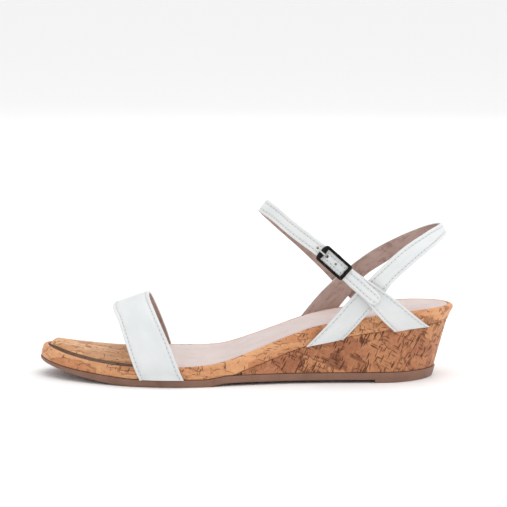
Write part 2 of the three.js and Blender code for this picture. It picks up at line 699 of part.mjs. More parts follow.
add('buckle_frame', buckleFramePiece(), gunmetal);
add('buckle_pin', bucklePin(), gunmetal);
add('buckle_prong', buckleProng(), brightSteel);

// The origin is the middle of the sandal's box, on the ground
const box = new THREE.Box3().setFromObject(sandal);
const middle = box.getCenter(V(0, 0, 0));
sandal.position.set(-middle.x, -middle.y, -box.min.z);

export default sandal;
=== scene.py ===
import math

import bmesh
import bpy
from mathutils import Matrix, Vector

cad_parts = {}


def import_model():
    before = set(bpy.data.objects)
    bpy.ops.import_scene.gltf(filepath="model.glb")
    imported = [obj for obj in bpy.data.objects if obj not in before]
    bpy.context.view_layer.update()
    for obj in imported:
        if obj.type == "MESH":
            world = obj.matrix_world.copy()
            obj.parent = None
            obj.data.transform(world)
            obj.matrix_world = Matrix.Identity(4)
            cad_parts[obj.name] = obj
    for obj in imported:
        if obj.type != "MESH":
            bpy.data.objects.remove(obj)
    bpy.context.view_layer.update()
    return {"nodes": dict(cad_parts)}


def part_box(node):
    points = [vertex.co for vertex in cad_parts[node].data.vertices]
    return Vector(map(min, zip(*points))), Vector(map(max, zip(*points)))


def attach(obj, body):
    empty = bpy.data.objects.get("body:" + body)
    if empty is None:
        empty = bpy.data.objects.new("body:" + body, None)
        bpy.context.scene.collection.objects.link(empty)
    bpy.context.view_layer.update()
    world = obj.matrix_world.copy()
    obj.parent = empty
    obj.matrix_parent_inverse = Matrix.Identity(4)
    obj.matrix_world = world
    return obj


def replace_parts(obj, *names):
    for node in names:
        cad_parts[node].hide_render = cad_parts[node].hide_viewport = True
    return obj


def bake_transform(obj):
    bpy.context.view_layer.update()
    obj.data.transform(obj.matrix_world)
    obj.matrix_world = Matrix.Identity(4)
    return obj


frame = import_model()

# ---------- The sandal's sizes, in millimetres from the toe tip ----------
SOLE_LENGTH = 244.5
BALL_WIDTH = 85.5
HEEL_WIDTH = 57.5
WEDGE_RISE = 31.7
TOE_SPRING = 9
HEEL_RAKE = 11.5
RAKE_LENGTH = 59.5
LIFT_LENGTH = 46.5
LIFT_THICKNESS = 1.5
OUTSOLE_THICKNESS = 4.3
TOE_THINNING = 2.2
FOREPART_HEIGHT = 7.3
RIM_HEIGHT = 9.4
RIM_WALL = 1.3
LIP_REACH = 3.28
SHOULDER = 3
LIP_THICKNESS = 0.9
SOCK_THICKNESS = 0.8
FOAM_THICKNESS = 2
GAP = 0.3
RIM_CLEARANCE = 0.36
TUCK = 0.3
TOE_TUCK = 0.7
HEEL_SWELL = 1.5
TOE_DROP = 1.7
TOE_CROWN = 2.7
HEEL_CROWN = 0.35
CROWN_COLUMNS = 22
SPRING_BEGINS = 0.237 * SOLE_LENGTH
TREAD_ENDS = 0.401 * SOLE_LENGTH
WAIST_BEGINS = 0.466 * SOLE_LENGTH
WEDGE_FRONT = 0.491 * SOLE_LENGTH
THINNING_ENDS = 0.19 * SOLE_LENGTH
HEEL_BREAST = SOLE_LENGTH - LIFT_LENGTH

# Rows of (share of the length, outer half width, inner half width)
PLAN = [
    (0, -0.14, 0.14), (0.014, 0.147, 0.405), (0.045, 0.374, 0.608), (0.09, 0.578, 0.772),
    (0.14, 0.742, 0.88), (0.2, 0.894, 0.947), (0.265, 0.989, 0.973), (0.33, 1.029, 0.943),
    (0.395, 1.008, 0.868), (0.46, 0.985, 0.825), (0.525, 1.006, 0.843), (0.6, 1.053, 0.918),
    (0.68, 1.054, 0.96), (0.76, 1.03, 0.995), (0.83, 1.009, 0.991), (0.9, 0.922, 0.904),
    (0.953, 0.696, 0.682), (0.986, 0.383, 0.365), (1, 0, 0),
]
# How the seat climbs to the heel: (share of the length, share of the rise)
CLIMB = [
    (0.34, 0), (0.395, 0.02), (0.45, 0.085), (0.52, 0.275), (0.618, 0.565),
    (0.683, 0.715), (0.798, 0.86), (0.896, 0.955), (1, 1),
]

BUCKLE_LENGTH = 19.8
BUCKLE_BAR = 1.9
BUCKLE_RAIL = 1.2
BUCKLE_THICKNESS = 1.3
BUCKLE_SLOPE = math.radians(42)
BILLET_WIDTH = 8
INNER_WIDTH = 8.8
OUTER_WIDTH = 11.2
PIN_RADIUS = 0.6
PRONG_RADIUS = 0.65
PRONG_PLACE = -5.8
HOLE_PITCH = 7
HOLE_PLACES = [PRONG_PLACE + step * HOLE_PITCH for step in (-1, 0, 1, 2)]
TAIL_LENGTH = 35
LEATHER = 1
LINING = 0.55
PLY_GAP = 0.15
TAPE = 0.25
LOOP_RADIUS = 0.9
BILLET_LEVEL = 2.2
FRAME_LEVEL = 4.2
STITCH_INSET = 2.1
STITCH_PITCH = 2.6
STITCH_LENGTH = 1.95
THREAD_RADIUS = 0.2
# A stitch's points from end to end, and how thick the thread is at each
STITCH_STEPS = (-1, -0.8, -0.4, 0, 0.4, 0.8, 1)
STITCH_SWELL = (0.45, 0.85, 1, 1.05, 1, 0.85, 0.45)
END_STITCH_PITCH = 1.9
SLIM_STRAP = 7.6    # straps narrower than this draw their edges and stitches closer together
HOLE_RADIUS = 0.75
PRONG_HOLE_RADIUS = 1.15
RIB_PITCH = 4.2
RIB_WAVE = 1.1
RIB_MARGIN = 6.6


# ---------- Small sums ----------
def mix(a, b, share):
    return a + (b - a) * share


def smoothstep(x, start, end):
    share = min(max((x - start) / (end - start), 0), 1)
    return share * share * (3 - 2 * share)


def through(points, closed=False):
    """A smooth curve through points, as a function of a share from 0 to 1."""
    spans = len(points) if closed else len(points) - 1

    def point(i):
        if closed:
            return points[i % len(points)]
        if i < 0:
            return 2 * points[0] - points[1]
        return points[i] if i < len(points) else 2 * points[-1] - points[-2]

    def place(share):
        k = math.floor(share * spans)
        k = k if closed else min(max(k, 0), spans - 1)
        t = share * spans - k
        before, a, b, after = (point(k + j) for j in (-1, 0, 1, 2))
        near, span, far = (math.sqrt((q - p).length) for p, q in ((before, a), (a, b), (b, after)))
        leave = ((a - before) / near - (b - before) / (near + span) + (b - a) / span) * span
        arrive = ((b - a) / span - (after - a) / (span + far) + (after - b) / far) * span
        square = 3 * (b - a) - 2 * leave - arrive
        return a + leave * t + square * t * t + (2 * (a - b) + leave + arrive) * t ** 3

    return place


def profile(points, samples=400):
    """A smooth height along the sole, through points of (x, height)."""
    spans = len(points) - 1
    found = []
    for s in range(samples + 1):
        k = min(int(s / samples * spans), spans - 1)
        t = s / samples * spans - k
        around = [points[min(max(k + j, 0), spans)] for j in (-1, 0, 1, 2)]
        pair = []
        for p0, p1, p2, p3 in zip(*around):
            leave, arrive = (p2 - p0) / 2, (p3 - p1) / 2
            pair.append(
                (2 * p1 - 2 * p2 + leave + arrive) * t ** 3
                + (-3 * p1 + 3 * p2 - 2 * leave - arrive) * t * t + leave * t + p1
            )
        found.append(pair)

    def height(x):
        if x <= found[0][0]:
            return found[0][1]
        if x >= found[-1][0]:
            return found[-1][1]
        low, high = 0, samples
        while high - low > 1:
            middle = (low + high) // 2
            low, high = (middle, high) if found[middle][0] <= x else (low, middle)
        (x0, z0), (x1, z1) = found[low], found[high]
        return mix(z0, z1, (x - x0) / (x1 - x0))

    return height


# ---------- Heights of the sole's layers ----------
climb = profile([(x * SOLE_LENGTH, z) for x, z in CLIMB])


def spring(x):
    return TOE_SPRING * (min(max(SPRING_BEGINS - x, 0), SPRING_BEGINS) / SPRING_BEGINS) ** 1.7


def outsole_bottom(x):
    return spring(x) + (LIFT_THICKNESS + GAP) * smoothstep(x, TREAD_ENDS, WAIST_BEGINS)


def outsole_top(x):
    thinning = TOE_THINNING * (1 - smoothstep(x, 0, THINNING_ENDS))
    return outsole_bottom(x) + OUTSOLE_THICKNESS - thinning


def seat(x):
    return spring(x) + OUTSOLE_THICKNESS + FOREPART_HEIGHT + WEDGE_RISE * climb(x)


def rim_bottom(x):
    return max(outsole_top(x) + GAP, seat(x) - RIM_HEIGHT)


def foam_top(x):
    return seat(x) - LIP_THICKNESS - GAP


# ---------- The plan outline ----------
def half_width(share):
    return mix(BALL_WIDTH, HEEL_WIDTH, smoothstep(share, 0.38, 0.66)) / 2


def plan_point(row, side):
    share, outer, inner = row
    return Vector((share * SOLE_LENGTH, (-outer if side < 0 else inner) * half_width(share), 0))


OUTLINE_STEPS = 288
plan_curve = through(
    [plan_point(row, -1) for row in PLAN] + [plan_point(row, 1) for row in PLAN[-2:0:-1]], closed=True
)
outline = []
for step in range(OUTLINE_STEPS):
    share = step / OUTLINE_STEPS
    tangent = plan_curve(share + 1e-4) - plan_curve(share - 1e-4)
    outline.append((plan_curve(share), Vector((tangent.y, -tangent.x, 0)).normalized()))
outline_run = [0]
for step in range(OUTLINE_STEPS):
    stride = outline[(step + 1) % OUTLINE_STEPS][0] - outline[step][0]
    outline_run.append(outline_run[-1] + stride.length)


def lean(x, z):
    """How far forward the raked back of the heel lies at a height."""
    low = min(max(1 - z / (seat(x) - RIM_WALL), 0), 1)
    return HEEL_RAKE * smoothstep(x, SOLE_LENGTH - RAKE_LENGTH, SOLE_LENGTH) * low


def loop(offset, height_of):
    """One closed loop round the sole, moved out by offset, which may vary along it."""
    places = []
    for point, out in outline:
        p = point + out * (offset(point.x) if callable(offset) else offset)
        p.z = height_of(p.x)
        p.x -= lean(p.x, p.z)
        places.append(p)
    return places


def tuck(x):
    """How far the rim's top draws in, most at the toe. At the back of the heel it swells out."""
    swell = HEEL_SWELL * smoothstep(x, SOLE_LENGTH - 16, SOLE_LENGTH)
    return TUCK + TOE_TUCK * (1 - smoothstep(x, 0, 45)) - swell


def rim_drop(x):
    """How far the rim's top lies below the seat, towards the toe."""
    return TOE_DROP * (1 - smoothstep(x, 0, 80))


def rim_top(x):
    return seat(x) - rim_drop(x)


def reach_table(side):
    half = OUTLINE_STEPS // 2
    edge = outline[: half + 1] if side < 0 else [outline[0], *outline[:half - 1:-1]]
    table, k = [], 0
    for x in range(int(SOLE_LENGTH) + 1):
        while k < len(edge) - 2 and edge[k + 1][0].x <= x:
            k += 1
        a, b = edge[k][0], edge[k + 1][0]
        table.append(abs(mix(a.y, b.y, (x - a.x) / max(b.x - a.x, 1e-6))))
    return table


reaches = {side: reach_table(side) for side in (-1, 1)}


def rim_reach(x, side):
    """How far the rim reaches sideways at x, on the outer (-1) or inner (+1) side."""
    x = min(max(x, 0), SOLE_LENGTH - 1.5)
    k = int(x)
    return mix(reaches[side][k], reaches[side][k + 1], x - k)


# ---------- Places near the buckle ----------
def over(share, sideways, above):
    x = share * SOLE_LENGTH
    return Vector((x, sideways * half_width(share), seat(x) + above))


def over_sling(share, sideways, above):
    """The same, further out by the thickness of the heel sling, which passes underneath."""
    return over(share, sideways, above) + Vector((0, math.copysign(2.7, sideways), 0))


def beside(share, side, height_of):
    x = share * SOLE_LENGTH
    return Vector((x, side * (rim_reach(x, side) + RIM_CLEARANCE), height_of(x)))


def on_outsole(share, side):
    return beside(share, side, lambda x: outsole_top(x) + GAP)


def on_seam(share, side):
    return beside(share, side, rim_bottom)


ALONG = Vector((math.cos(BUCKLE_SLOPE), 0, -math.sin(BUCKLE_SLOPE)))
OUT = Vector((0, -1, 0))
ACROSS = ALONG.cross(OUT)
PIN_PLACE = over_sling(0.7097, -1.123, 37)


def at_buckle(along, across, out):
    return PIN_PLACE + ALONG * along + ACROSS * across + OUT * out


pin_low, pin_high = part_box("buckle_pin")
shift = (Vector(pin_low) + Vector(pin_high)) * 500 - PIN_PLACE


def world(point):
    return (point + shift) / 1000


# ---------- Meshes ----------
class Shell:
    """Points, faces, and where each point lies on the sheet that it is cut from: along it, across it
    and, on a strap, in from its edge. In the groove round the footbed the last one is 1 or -1, which marks
    where painted shade darkens the colour."""

    def __init__(self):
        self.points, self.laid, self.faces = [], [], []

    def add(self, point, laid):
        self.points.append(point)
        self.laid.append(laid)
        return len(self.points) - 1

    def ring(self, points, laid):
        return [self.add(p, q) for p, q in zip(points, laid)]

    def join(self, a, b, closed=True):
        count = len(a)
        for i in range(count if closed else count - 1):
            j = (i + 1) % count
            self.faces.append((a[i], a[j], b[j], b[i]))

    def piece(self, name, finish, slot, sharp=40, cuts=(), body="root"):
        mesh = bpy.data.meshes.new(name)
        mesh.from_pydata([world(p) for p in self.points], [], self.faces)
        laid = mesh.attributes.new("laid", "FLOAT_VECTOR", "POINT")
        laid.data.foreach_set("vector", [c / 1000 for place in self.laid for c in place])
        work = bmesh.new()
        work.from_mesh(mesh)
        for x, keep in cuts:
            at = world(Vector((x, 0, 0)))
            bmesh.ops.bisect_plane(
                work, geom=[*work.verts, *work.edges, *work.faces], plane_co=at,
                plane_no=(keep, 0, 0), clear_inner=True,
            )
            bmesh.ops.holes_fill(work, edges=[e for e in work.edges if e.is_boundary])
        bmesh.ops.recalc_face_normals(work, faces=work.faces)
        work.to_mesh(mesh)
        work.free()
        mesh.shade_smooth()
        mesh.set_sharp_from_angle(angle=math.radians(sharp))
        made = bpy.data.objects.new(name, mesh)
        bpy.context.scene.collection.objects.link(made)
        made.data.materials.append(finish)
        if body:
            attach(made, body)
        return made


def cap(shell, ring, columns=1, lift=None):
    """Closes a loop round the sole with rows across it, crowned by lift."""
    half = OUTLINE_STEPS // 2
    rows = [[ring[0]]]
    for i in range(1, half):
        a, b = ring[i], ring[-i]
        row = [a]
        for j in range(1, columns):
            p = shell.points[a].lerp(shell.points[b], j / columns)
            inward = min((j / columns) * (1 - j / columns) * 4, 1) ** 0.6
            p.z += (lift(p.x) if lift else 0) * inward * smoothstep(min(i, half - i), 0, 12)
            row.append(shell.add(p, (p.x, p.y, 0)))
        rows.append([*row, b])
    rows.append([ring[half]])
    for a, b in zip(rows, rows[1:]):
        if len(a) == 1 or len(b) == 1:
            tip, row = (a[0], b) if len(a) == 1 else (b[0], a)
            shell.faces += [(tip, p, q) for p, q in zip(row, row[1:])]
        else:
            shell.faces += [(a[j], a[j + 1], b[j + 1], b[j]) for j in range(len(a) - 1)]


def stack(loops, columns=1, lift=None):
    """A solid from loops round the sole, bottom first, with its top crowned by lift."""
    shell = Shell()
    rings = [shell.ring(places, [tuple(p) for p in places]) for places in loops]
    for a, b in zip(rings, rings[1:]):
        shell.join(a, b)
    cap(shell, rings[0])
    cap(shell, rings[-1], columns, lift)
    return shell


def band(loops):
    """A strip that runs round the sole, from the loops round its section."""
    shell = Shell()
    rings = []
    girth = 0
    for k, places in enumerate(loops):
        if k:
            girth += (places[0] - loops[k - 1][0]).length
        rings.append(shell.ring(places, [(run, p.z + 0.4 * girth, 0) for run, p in zip(outline_run, places)]))
    for a, b in zip(rings, [*rings[1:], rings[0]]):
        shell.join(a, b)
    return shell


# ---------- Finishes ----------
def colour(code):
    """A colour from its six-figure code."""
    parts = [int(code[k:k + 2], 16) / 255 for k in (0, 2, 4)]
    return (*[p / 12.92 if p <= 0.04045 else ((p + 0.055) / 1.055) ** 2.4 for p in parts], 1)


class Signal:
    """A value that varies over a surface. Arithmetic on it adds Math nodes."""

    def __init__(self, finish, socket):
        self.finish, self.socket = finish, socket

    def maths(self, operation, a, b=0.0, c=0.0):
        return self.finish.node("Math", {"operation": operation}, {0: a, 1: b, 2: c})

    def __add__(self, other):
        return self.maths("ADD", self, other)

    def __sub__(self, other):
        return self.maths("SUBTRACT", self, other)

    def __rsub__(self, other):
        return self.maths("SUBTRACT", other, self)

    def __mul__(self, other):
        return self.maths("MULTIPLY", self, other)

    def __mod__(self, other):
        return self.maths("FLOORED_MODULO", self, other)

    def __abs__(self):
        return self.maths("ABSOLUTE", self)

    __radd__ = __add__
    __rmul__ = __mul__

    def rise(self, low, high):
        """0 below low and 1 above high, smoothly between them. With low above high it falls."""
        ends = {"Value": self, "From Min": low, "From Max": high}
        return self.finish.node("MapRange", {"interpolation_type": "SMOOTHSTEP"}, ends)


class Finish:
    """A material, and the ways its patterns are made."""

    def __init__(self, name):
        self.material = bpy.data.materials.new(name)
        self.material.use_nodes = True
        self.tree = self.material.node_tree
        self.shader = self.tree.nodes["Principled BSDF"]
        self.laid = self.node("Attribute", {"attribute_name": "laid"}, output="Vector")

    def node(self, kind, settings=None, sockets=None, output=0):
        made = self.tree.nodes.new("ShaderNode" + kind)
        for name, value in (settings or {}).items():
            setattr(made, name, value)
        for key, value in (sockets or {}).items():
            self.feed(made.inputs[key], value)
        return Signal(self, made.outputs[output])

    def feed(self, socket, value):
        if isinstance(value, Signal):
            self.tree.links.new(value.socket, socket)
        else:
            socket.default_value = value

    def on(self, across, along=None, lean=0.0, of=None, wander=0.0):
        """The surface's coordinates in cells of these sizes in millimetres, leaning by an angle."""
        size = {"Scale": (1000 / across, 1000 / (along or across), 1000 / across)}
        turned = self.node(
            "Mapping", {}, {"Vector": of or self.laid, "Rotation": (0, 0, lean), "Scale": (1, 1, 1)}
        )
        cells = self.node("Mapping", {}, {"Vector": turned, **size})
        if not wander:
            return cells
        stray = self.node("TexNoise", {}, {"Vector": cells, "Scale": 0.7, "Detail": 1.0}, 1)
        scaled = self.node("VectorMath", {"operation": "SCALE"}, {0: stray, "Scale": wander})
        return self.node("VectorMath", {"operation": "ADD"}, {0: cells, 1: scaled})

    def noise(self, cells, detail=3.0, roughness=0.5):
        return self.node(
            "TexNoise", {}, {"Vector": cells, "Scale": 1.0, "Detail": detail, "Roughness": roughness}
        )

    def cells(self, cells, feature="F1", output=0, scatter=1.0):
        return self.node(
            "TexVoronoi", {"feature": feature}, {"Vector": cells, "Scale": 1.0, "Randomness": scatter}, output
        )

    def part(self, vector, axis):
        return self.node("SeparateXYZ", {}, {0: vector}, axis)

    def blend(self, a, b, share):
        return self.node("Mix", {"data_type": "RGBA"}, {0: share, 6: a, 7: b}, 2)

    def bump(self, height, depth):
        """depth is the height of a whole step, in millimetres."""
        return self.node("Bump", {}, {"Height": height, "Distance": depth / 1000})

    def surface(self, **sockets):
        for name, value in sockets.items():
            self.feed(self.shader.inputs[name.replace("_", " ")], value)
        return self.material


def cork(name, pale, deep, dark, lean, dashes, fibre, streaks=0.0):
    """Natural cork sheet, pieced from small blocks, with short dark pores in clusters, and painted shade in
    the groove round the footbed.
    """
    f = Finish(name)
    blocks = f.on(17, 9, lean * 0.8, wander=0.015)
    square = {"distance": "CHEBYCHEV"}
    tone = f.part(f.node("TexVoronoi", square, {"Vector": blocks, "Scale": 1.0}, 1), 0)
    inside = f.node("TexVoronoi", square, {"Vector": blocks, "Scale": 1.0})
    beyond = f.node("TexVoronoi", {**square, "feature": "F2"}, {"Vector": blocks, "Scale": 1.0})
    seams = (beyond - inside).rise(0.07, 0.02) * f.noise(f.on(8), 1.0).rise(0.42, 0.52)
    cloud = f.noise(f.on(12, 8), 4.0, 0.6)
    fine = f.noise(f.on(0.55, 0.8, lean), 4.0, 0.75)
    fleck = f.noise(f.on(*fibre, lean), 4.0, 0.65)
    shade = tone * 0.45 + cloud * 0.75 + fleck * 0.8 - 0.52
    body = f.blend(colour(pale), colour(deep), shade.rise(0.0, 0.95))
    body = f.blend(body, colour(dark), fleck.rise(0.56, 0.8) * 0.45 + fine.rise(0.55, 0.8) * 0.35)
    ink = 0.0
    for k, (across, along, angle, odds, crowding) in enumerate(dashes):
        grid = f.on(across, along, angle, wander=0.15)
        line = f.cells(grid).rise(0.4, 0.26)
        chosen = f.part(f.cells(grid, output=1), k % 3).rise(odds, odds + 0.05)
        crowd = f.noise(f.on(7 + k, 9 - k), 1.0).rise(crowding, crowding + 0.1)
        ink = line * chosen * crowd + ink
    bend = f.noise(f.on(17, 11, lean), 3.0, 0.6)
    cracks = abs(bend - 0.5).rise(0.009, 0.002) * f.noise(f.on(9), 1.0).rise(0.5, 0.62)
    grit = f.cells(f.on(1.1, 0.8, lean)).rise(0.24, 0.1) * f.noise(f.on(3.4), 2.0).rise(0.52, 0.62)
    ink = (ink + cracks * 0.8 + grit * 0.8 + seams * 0.6).rise(0.0, 1.1)
    if streaks:
        run = f.noise(f.on(13, 0.8, wander=0.3), 4.0, 0.65).rise(0.52, 0.7)
        body = f.blend(body, colour(dark), run * streaks)
    body = f.blend(body, colour(dark), ink * 0.86)
    # Painted shade: near black-brown where the third laid value is set, in the groove round the footbed on
    # the rim and toe cover.
    groove = abs(f.part(f.laid, 2) * 1000).rise(0.0, 0.9)
    body = f.blend(body, colour("3a1f10"), groove * 0.85)
    height = fine * 0.4 + fleck * 0.4 - ink
    return f.surface(Base_Color=body, Roughness=0.5 + ink * 0.3 + fine * 0.12, Normal=f.bump(height, 0.16))


def leather(name, base, shade, grain, rough, depth=0.05, needle=True, creases=0.0):
    """Dressed leather with a fine grain, softly creased, with needle marks along its stitching; painted shade
    darkens the needle holes, the creases and the sock's edge in the footbed groove.
    """
    f = Finish(name)
    pebble = f.cells(f.on(grain, wander=0.25), "DISTANCE_TO_EDGE").rise(0.0, 0.25)
    cloud = f.noise(f.on(21), 3.0)
    fine = f.noise(f.on(0.5), 3.0)
    body = f.blend(colour(base), colour(shade), cloud.rise(0.35, 0.75) * 0.55 + (1 - pebble) * 0.2)
    height = pebble + fine * 0.5
    # Painted shade: the sock's edge down in the groove inside the rim, where the third laid value is
    # negative.
    groove = (0 - f.part(f.laid, 2) * 1000).rise(0.0, 0.9)
    body = f.blend(body, colour("5a3f33"), groove * 0.8)
    if needle:
        inset = f.part(f.laid, 2) * 1000
        run = f.part(f.laid, 0) * 1000
        near = abs(inset - STITCH_INSET).rise(0.34, 0.2)
        # Painted shade: the needle holes along the stitching are darkened; the grey along the very edge
        # (worn) is wear.
        prick = abs((run % STITCH_PITCH) - STITCH_PITCH / 2).rise(0.36, 0.2) * near
        worn = inset.rise(0.5, 0.0) * f.noise(f.on(4), 2.0).rise(0.4, 0.7)
        body = f.blend(body, colour("85827e"), prick * 0.7 + worn * 0.2)
        height = height - prick * 4.0
    if creases:
        fold = f.noise(f.on(5, 2.4, wander=0.6), 4.0, 0.6)
        height = height + fold * creases
        # Painted shade: the colour darkens along the crease pattern.
        body = f.blend(body, colour(shade), fold.rise(0.5, 0.7) * 0.8)
    return f.surface(Base_Color=body, Roughness=rough - 0.07 + cloud * 0.1 + (1 - pebble) * 0.08,
                     Normal=f.bump(height, depth))


def rubber(name, base, worn):
    """Moulded sole rubber, faintly mottled, scuffed where it meets the ground."""
    f = Finish(name)
    cloud = f.noise(f.on(14, 6), 4.0)
    fine = f.noise(f.on(0.7), 3.0, 0.7)
    scuff = f.noise(f.on(9, 0.8, 0.2), 3.0).rise(0.55, 0.75)
    body = f.blend(colour(base), colour(worn), cloud.rise(0.3, 0.8) * 0.6 + scuff * 0.25)
    return f.surface(Base_Color=body, Roughness=0.42 + scuff * 0.2 + fine * 0.12,
                     Normal=f.bump(fine + scuff * 0.6, 0.05))


def metal(name, base, edge, rough):
    """Plated metal with fine polishing lines."""
    f = Finish(name)
    lines = f.noise(f.on(3.5, 0.12), 2.0)
    cloud = f.noise(f.on(2.4), 3.0)
    f.surface(Metallic=1.0)
    return f.surface(Base_Color=f.blend(colour(base), colour(edge), cloud.rise(0.4, 0.75)),
                     Roughness=rough + lines * 0.14, Normal=f.bump(lines + cloud, 0.008))


def thread(name, base, shade):
    f = Finish(name)
    twist = f.noise(f.on(0.25, 0.18, 0.7), 1.0)
    return f.surface(Base_Color=f.blend(colour(base), colour(shade), twist.rise(0.35, 0.7)),
                     Roughness=0.6 + twist * 0.2, Normal=f.bump(twist, 0.08))


def granules(name, pale, dark, size):
    """Pressed cork grains, fibre board or foam cells, by their size."""
    f = Finish(name)
    f.laid = f.node("TexCoord", {}, {}, "Object")
    grid = f.on(size, wander=0.3)
    tone = f.part(f.cells(grid, output=1), 0)
    edge = f.cells(grid, "DISTANCE_TO_EDGE").rise(0.1, 0.0)
    fine = f.noise(f.on(size / 5), 3.0)
    body = f.blend(f.blend(colour(pale), colour(dark), tone * 0.7), colour(dark), edge * 0.8)
    return f.surface(Base_Color=body, Roughness=0.75 + fine * 0.2, Normal=f.bump(fine * 0.4 - edge, size / 8))


def woven(name, base, shade):
    """Woven tape: over and under threads half a millimetre apart."""
    f = Finish(name)
    f.laid = f.node("TexCoord", {}, {}, "Object")
    warp = f.node("TexWave", {"bands_direction": "X"}, {"Vector": f.on(3.2), "Scale": 1.0, "Distortion": 0.3})
    weft = f.node("TexWave", {"bands_direction": "Z"}, {"Vector": f.on(3.2), "Scale": 1.0, "Distortion": 0.3})
    height = warp * weft
    return f.surface(Base_Color=f.blend(colour(shade), colour(base), height.rise(0.0, 0.6)),
                     Roughness=0.8 + height * 0.1, Normal=f.bump(height, 0.15))


SLASH = math.radians(25)
wrap_cork = cork("wedge cork", "cc8f60", "975838", "4c2110", SLASH, [
    (1.25, 10, SLASH, 0.35, 0.4), (0.9, 4.8, SLASH, 0.25, 0.45), (1.1, 6, 0.05, 0.4, 0.49),
    (8.0, 0.8, SLASH, 0.5, 0.46)], (1.6, 2.6))
rim_cork = cork("rim cork", "e0a777", "b87447", "5c2f17", 0.0, [
    (0.8, 4.4, 0.04, 0.5, 0.52), (1.1, 5.4, 0.35, 0.6, 0.52), (6.0, 0.8, 0.1, 0.6, 0.5)], (0.6, 3.4))
cover_cork = cork("toe cover cork", "e6b280", "bd8150", "5b331c", 0.0, [
    (9.0, 0.9, 0.12, 0.4, 0.45), (7.0, 0.8, -0.4, 0.5, 0.46),
    (1.0, 4.4, 0.3, 0.7, 0.5)], (4.5, 0.8), streaks=0.5)
white_leather = leather("white leather", "e2e4e4", "d2d6d7", 0.62, 0.42)
lining_leather = leather("lining leather", "bda49b", "8f7268", 0.5, 0.72, 0.06, needle=False, creases=3.0)
sock_leather = leather("sock leather", "d8c9c5", "cab8b4", 0.55, 0.6, 0.05, needle=False, creases=0.6)
sole_rubber = rubber("sole rubber", "86614f", "6e4c3c")
white_thread = thread("white thread", "e9e9e7", "b9bab8")
gunmetal = metal("gunmetal plating", "1c1a18", "35312e", 0.26)
bright_steel = metal("bright steel", "c9cacb", "9a9b9c", 0.2)
# Near-black walls round the strap holes: painted shade in the holes.
hole_wall_shade = granules("painted hole shade", "2a221e", "0f0c0a", 0.4)
spring_steel = metal("spring steel", "8c9096", "6e7278", 0.36)
cork_core = granules("pressed cork", "c2905f", "6d4425", 2.4)
fibre_board = granules("fibre board", "a58d6c", "7d6648", 0.8)
foam = granules("foam", "ece6d8", "c5bda9", 0.6)
tape_weave = woven("tape weave", "f2f2ea", "c6c6bc")


# ---------- The sole ----------
def crown(x):
    """How high the middle of the footbed stands over its edge."""
    return mix(TOE_CROWN, HEEL_CROWN, smoothstep(x, 25, 95)) + rim_drop(x)


def outsole():
    under = [(-5, 0.7), (-4.7, 0.65), (-4.4, 0), (-0.4, 0), (0.02, 0.12), (0.3, 0.42), (0.4, 0.85)]
    above = [(0.4, -0.5), (0.36, -0.22), (0.2, -0.04), (-0.1, 0), (-2, 0)]
    loops = [loop(offset, lambda x, z=z: outsole_bottom(x) + z) for offset, z in under]
    loops += [loop(offset, lambda x, z=z: outsole_top(x) + z) for offset, z in above]
    made = stack(loops).piece("outsole_sheet", sole_rubber, "outsole_rubber", 50)
    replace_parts(made, "outsole")


def heel_lift():
    under = [(-5, 0.7), (-4.7, 0.65), (-4.4, 0), (-0.5, 0), (0, 0.12), (0.25, 0.4), (0.38, 0.8)]
    top = LIFT_THICKNESS + GAP + 0.6
    loops = [loop(offset, lambda x, z=z: z) for offset, z in (*under, (0.4, 1.1), (0.4, top), (-2, top))]
    made = stack(loops).piece("heel_lift_block", sole_rubber, "outsole_rubber", 50, [(HEEL_BREAST, 1)])
    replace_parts(made, "heel_top_lift")


def tread_ribs(name, front, back, bottom):
    """Wavy ribs across the sole, standing in its shallow recess."""
    shell = Shell()
    x = front
    while x < back:
        reach = min(rim_reach(x + dx, side) for dx in (-2, 2) for side in (-1, 1)) - RIB_MARGIN
        if reach > 4:
            rings = []
            for k in range(41):
                y = mix(-reach, reach, k / 40)
                wave = RIB_WAVE * math.sin(y / 3.4)
                low = bottom(x)
                places = [(-1.3, 0.9), (-1.0, 0.12), (-0.8, 0.02), (0.8, 0.02), (1.0, 0.12), (1.3, 0.9)]
                points = [Vector((x + wave + dx, y, low + z)) for dx, z in places]
                for p in points:
                    p.x -= lean(p.x, p.z)
                rings.append(shell.ring(points, [(p.x, p.y, p.z) for p in points]))
            for a, b in zip(rings, rings[1:]):
                shell.join(a, b)
            shell.faces += [rings[0][::-1], rings[-1]]
        x += RIB_PITCH
    shell.piece(name, sole_rubber, "outsole_rubber", 35)


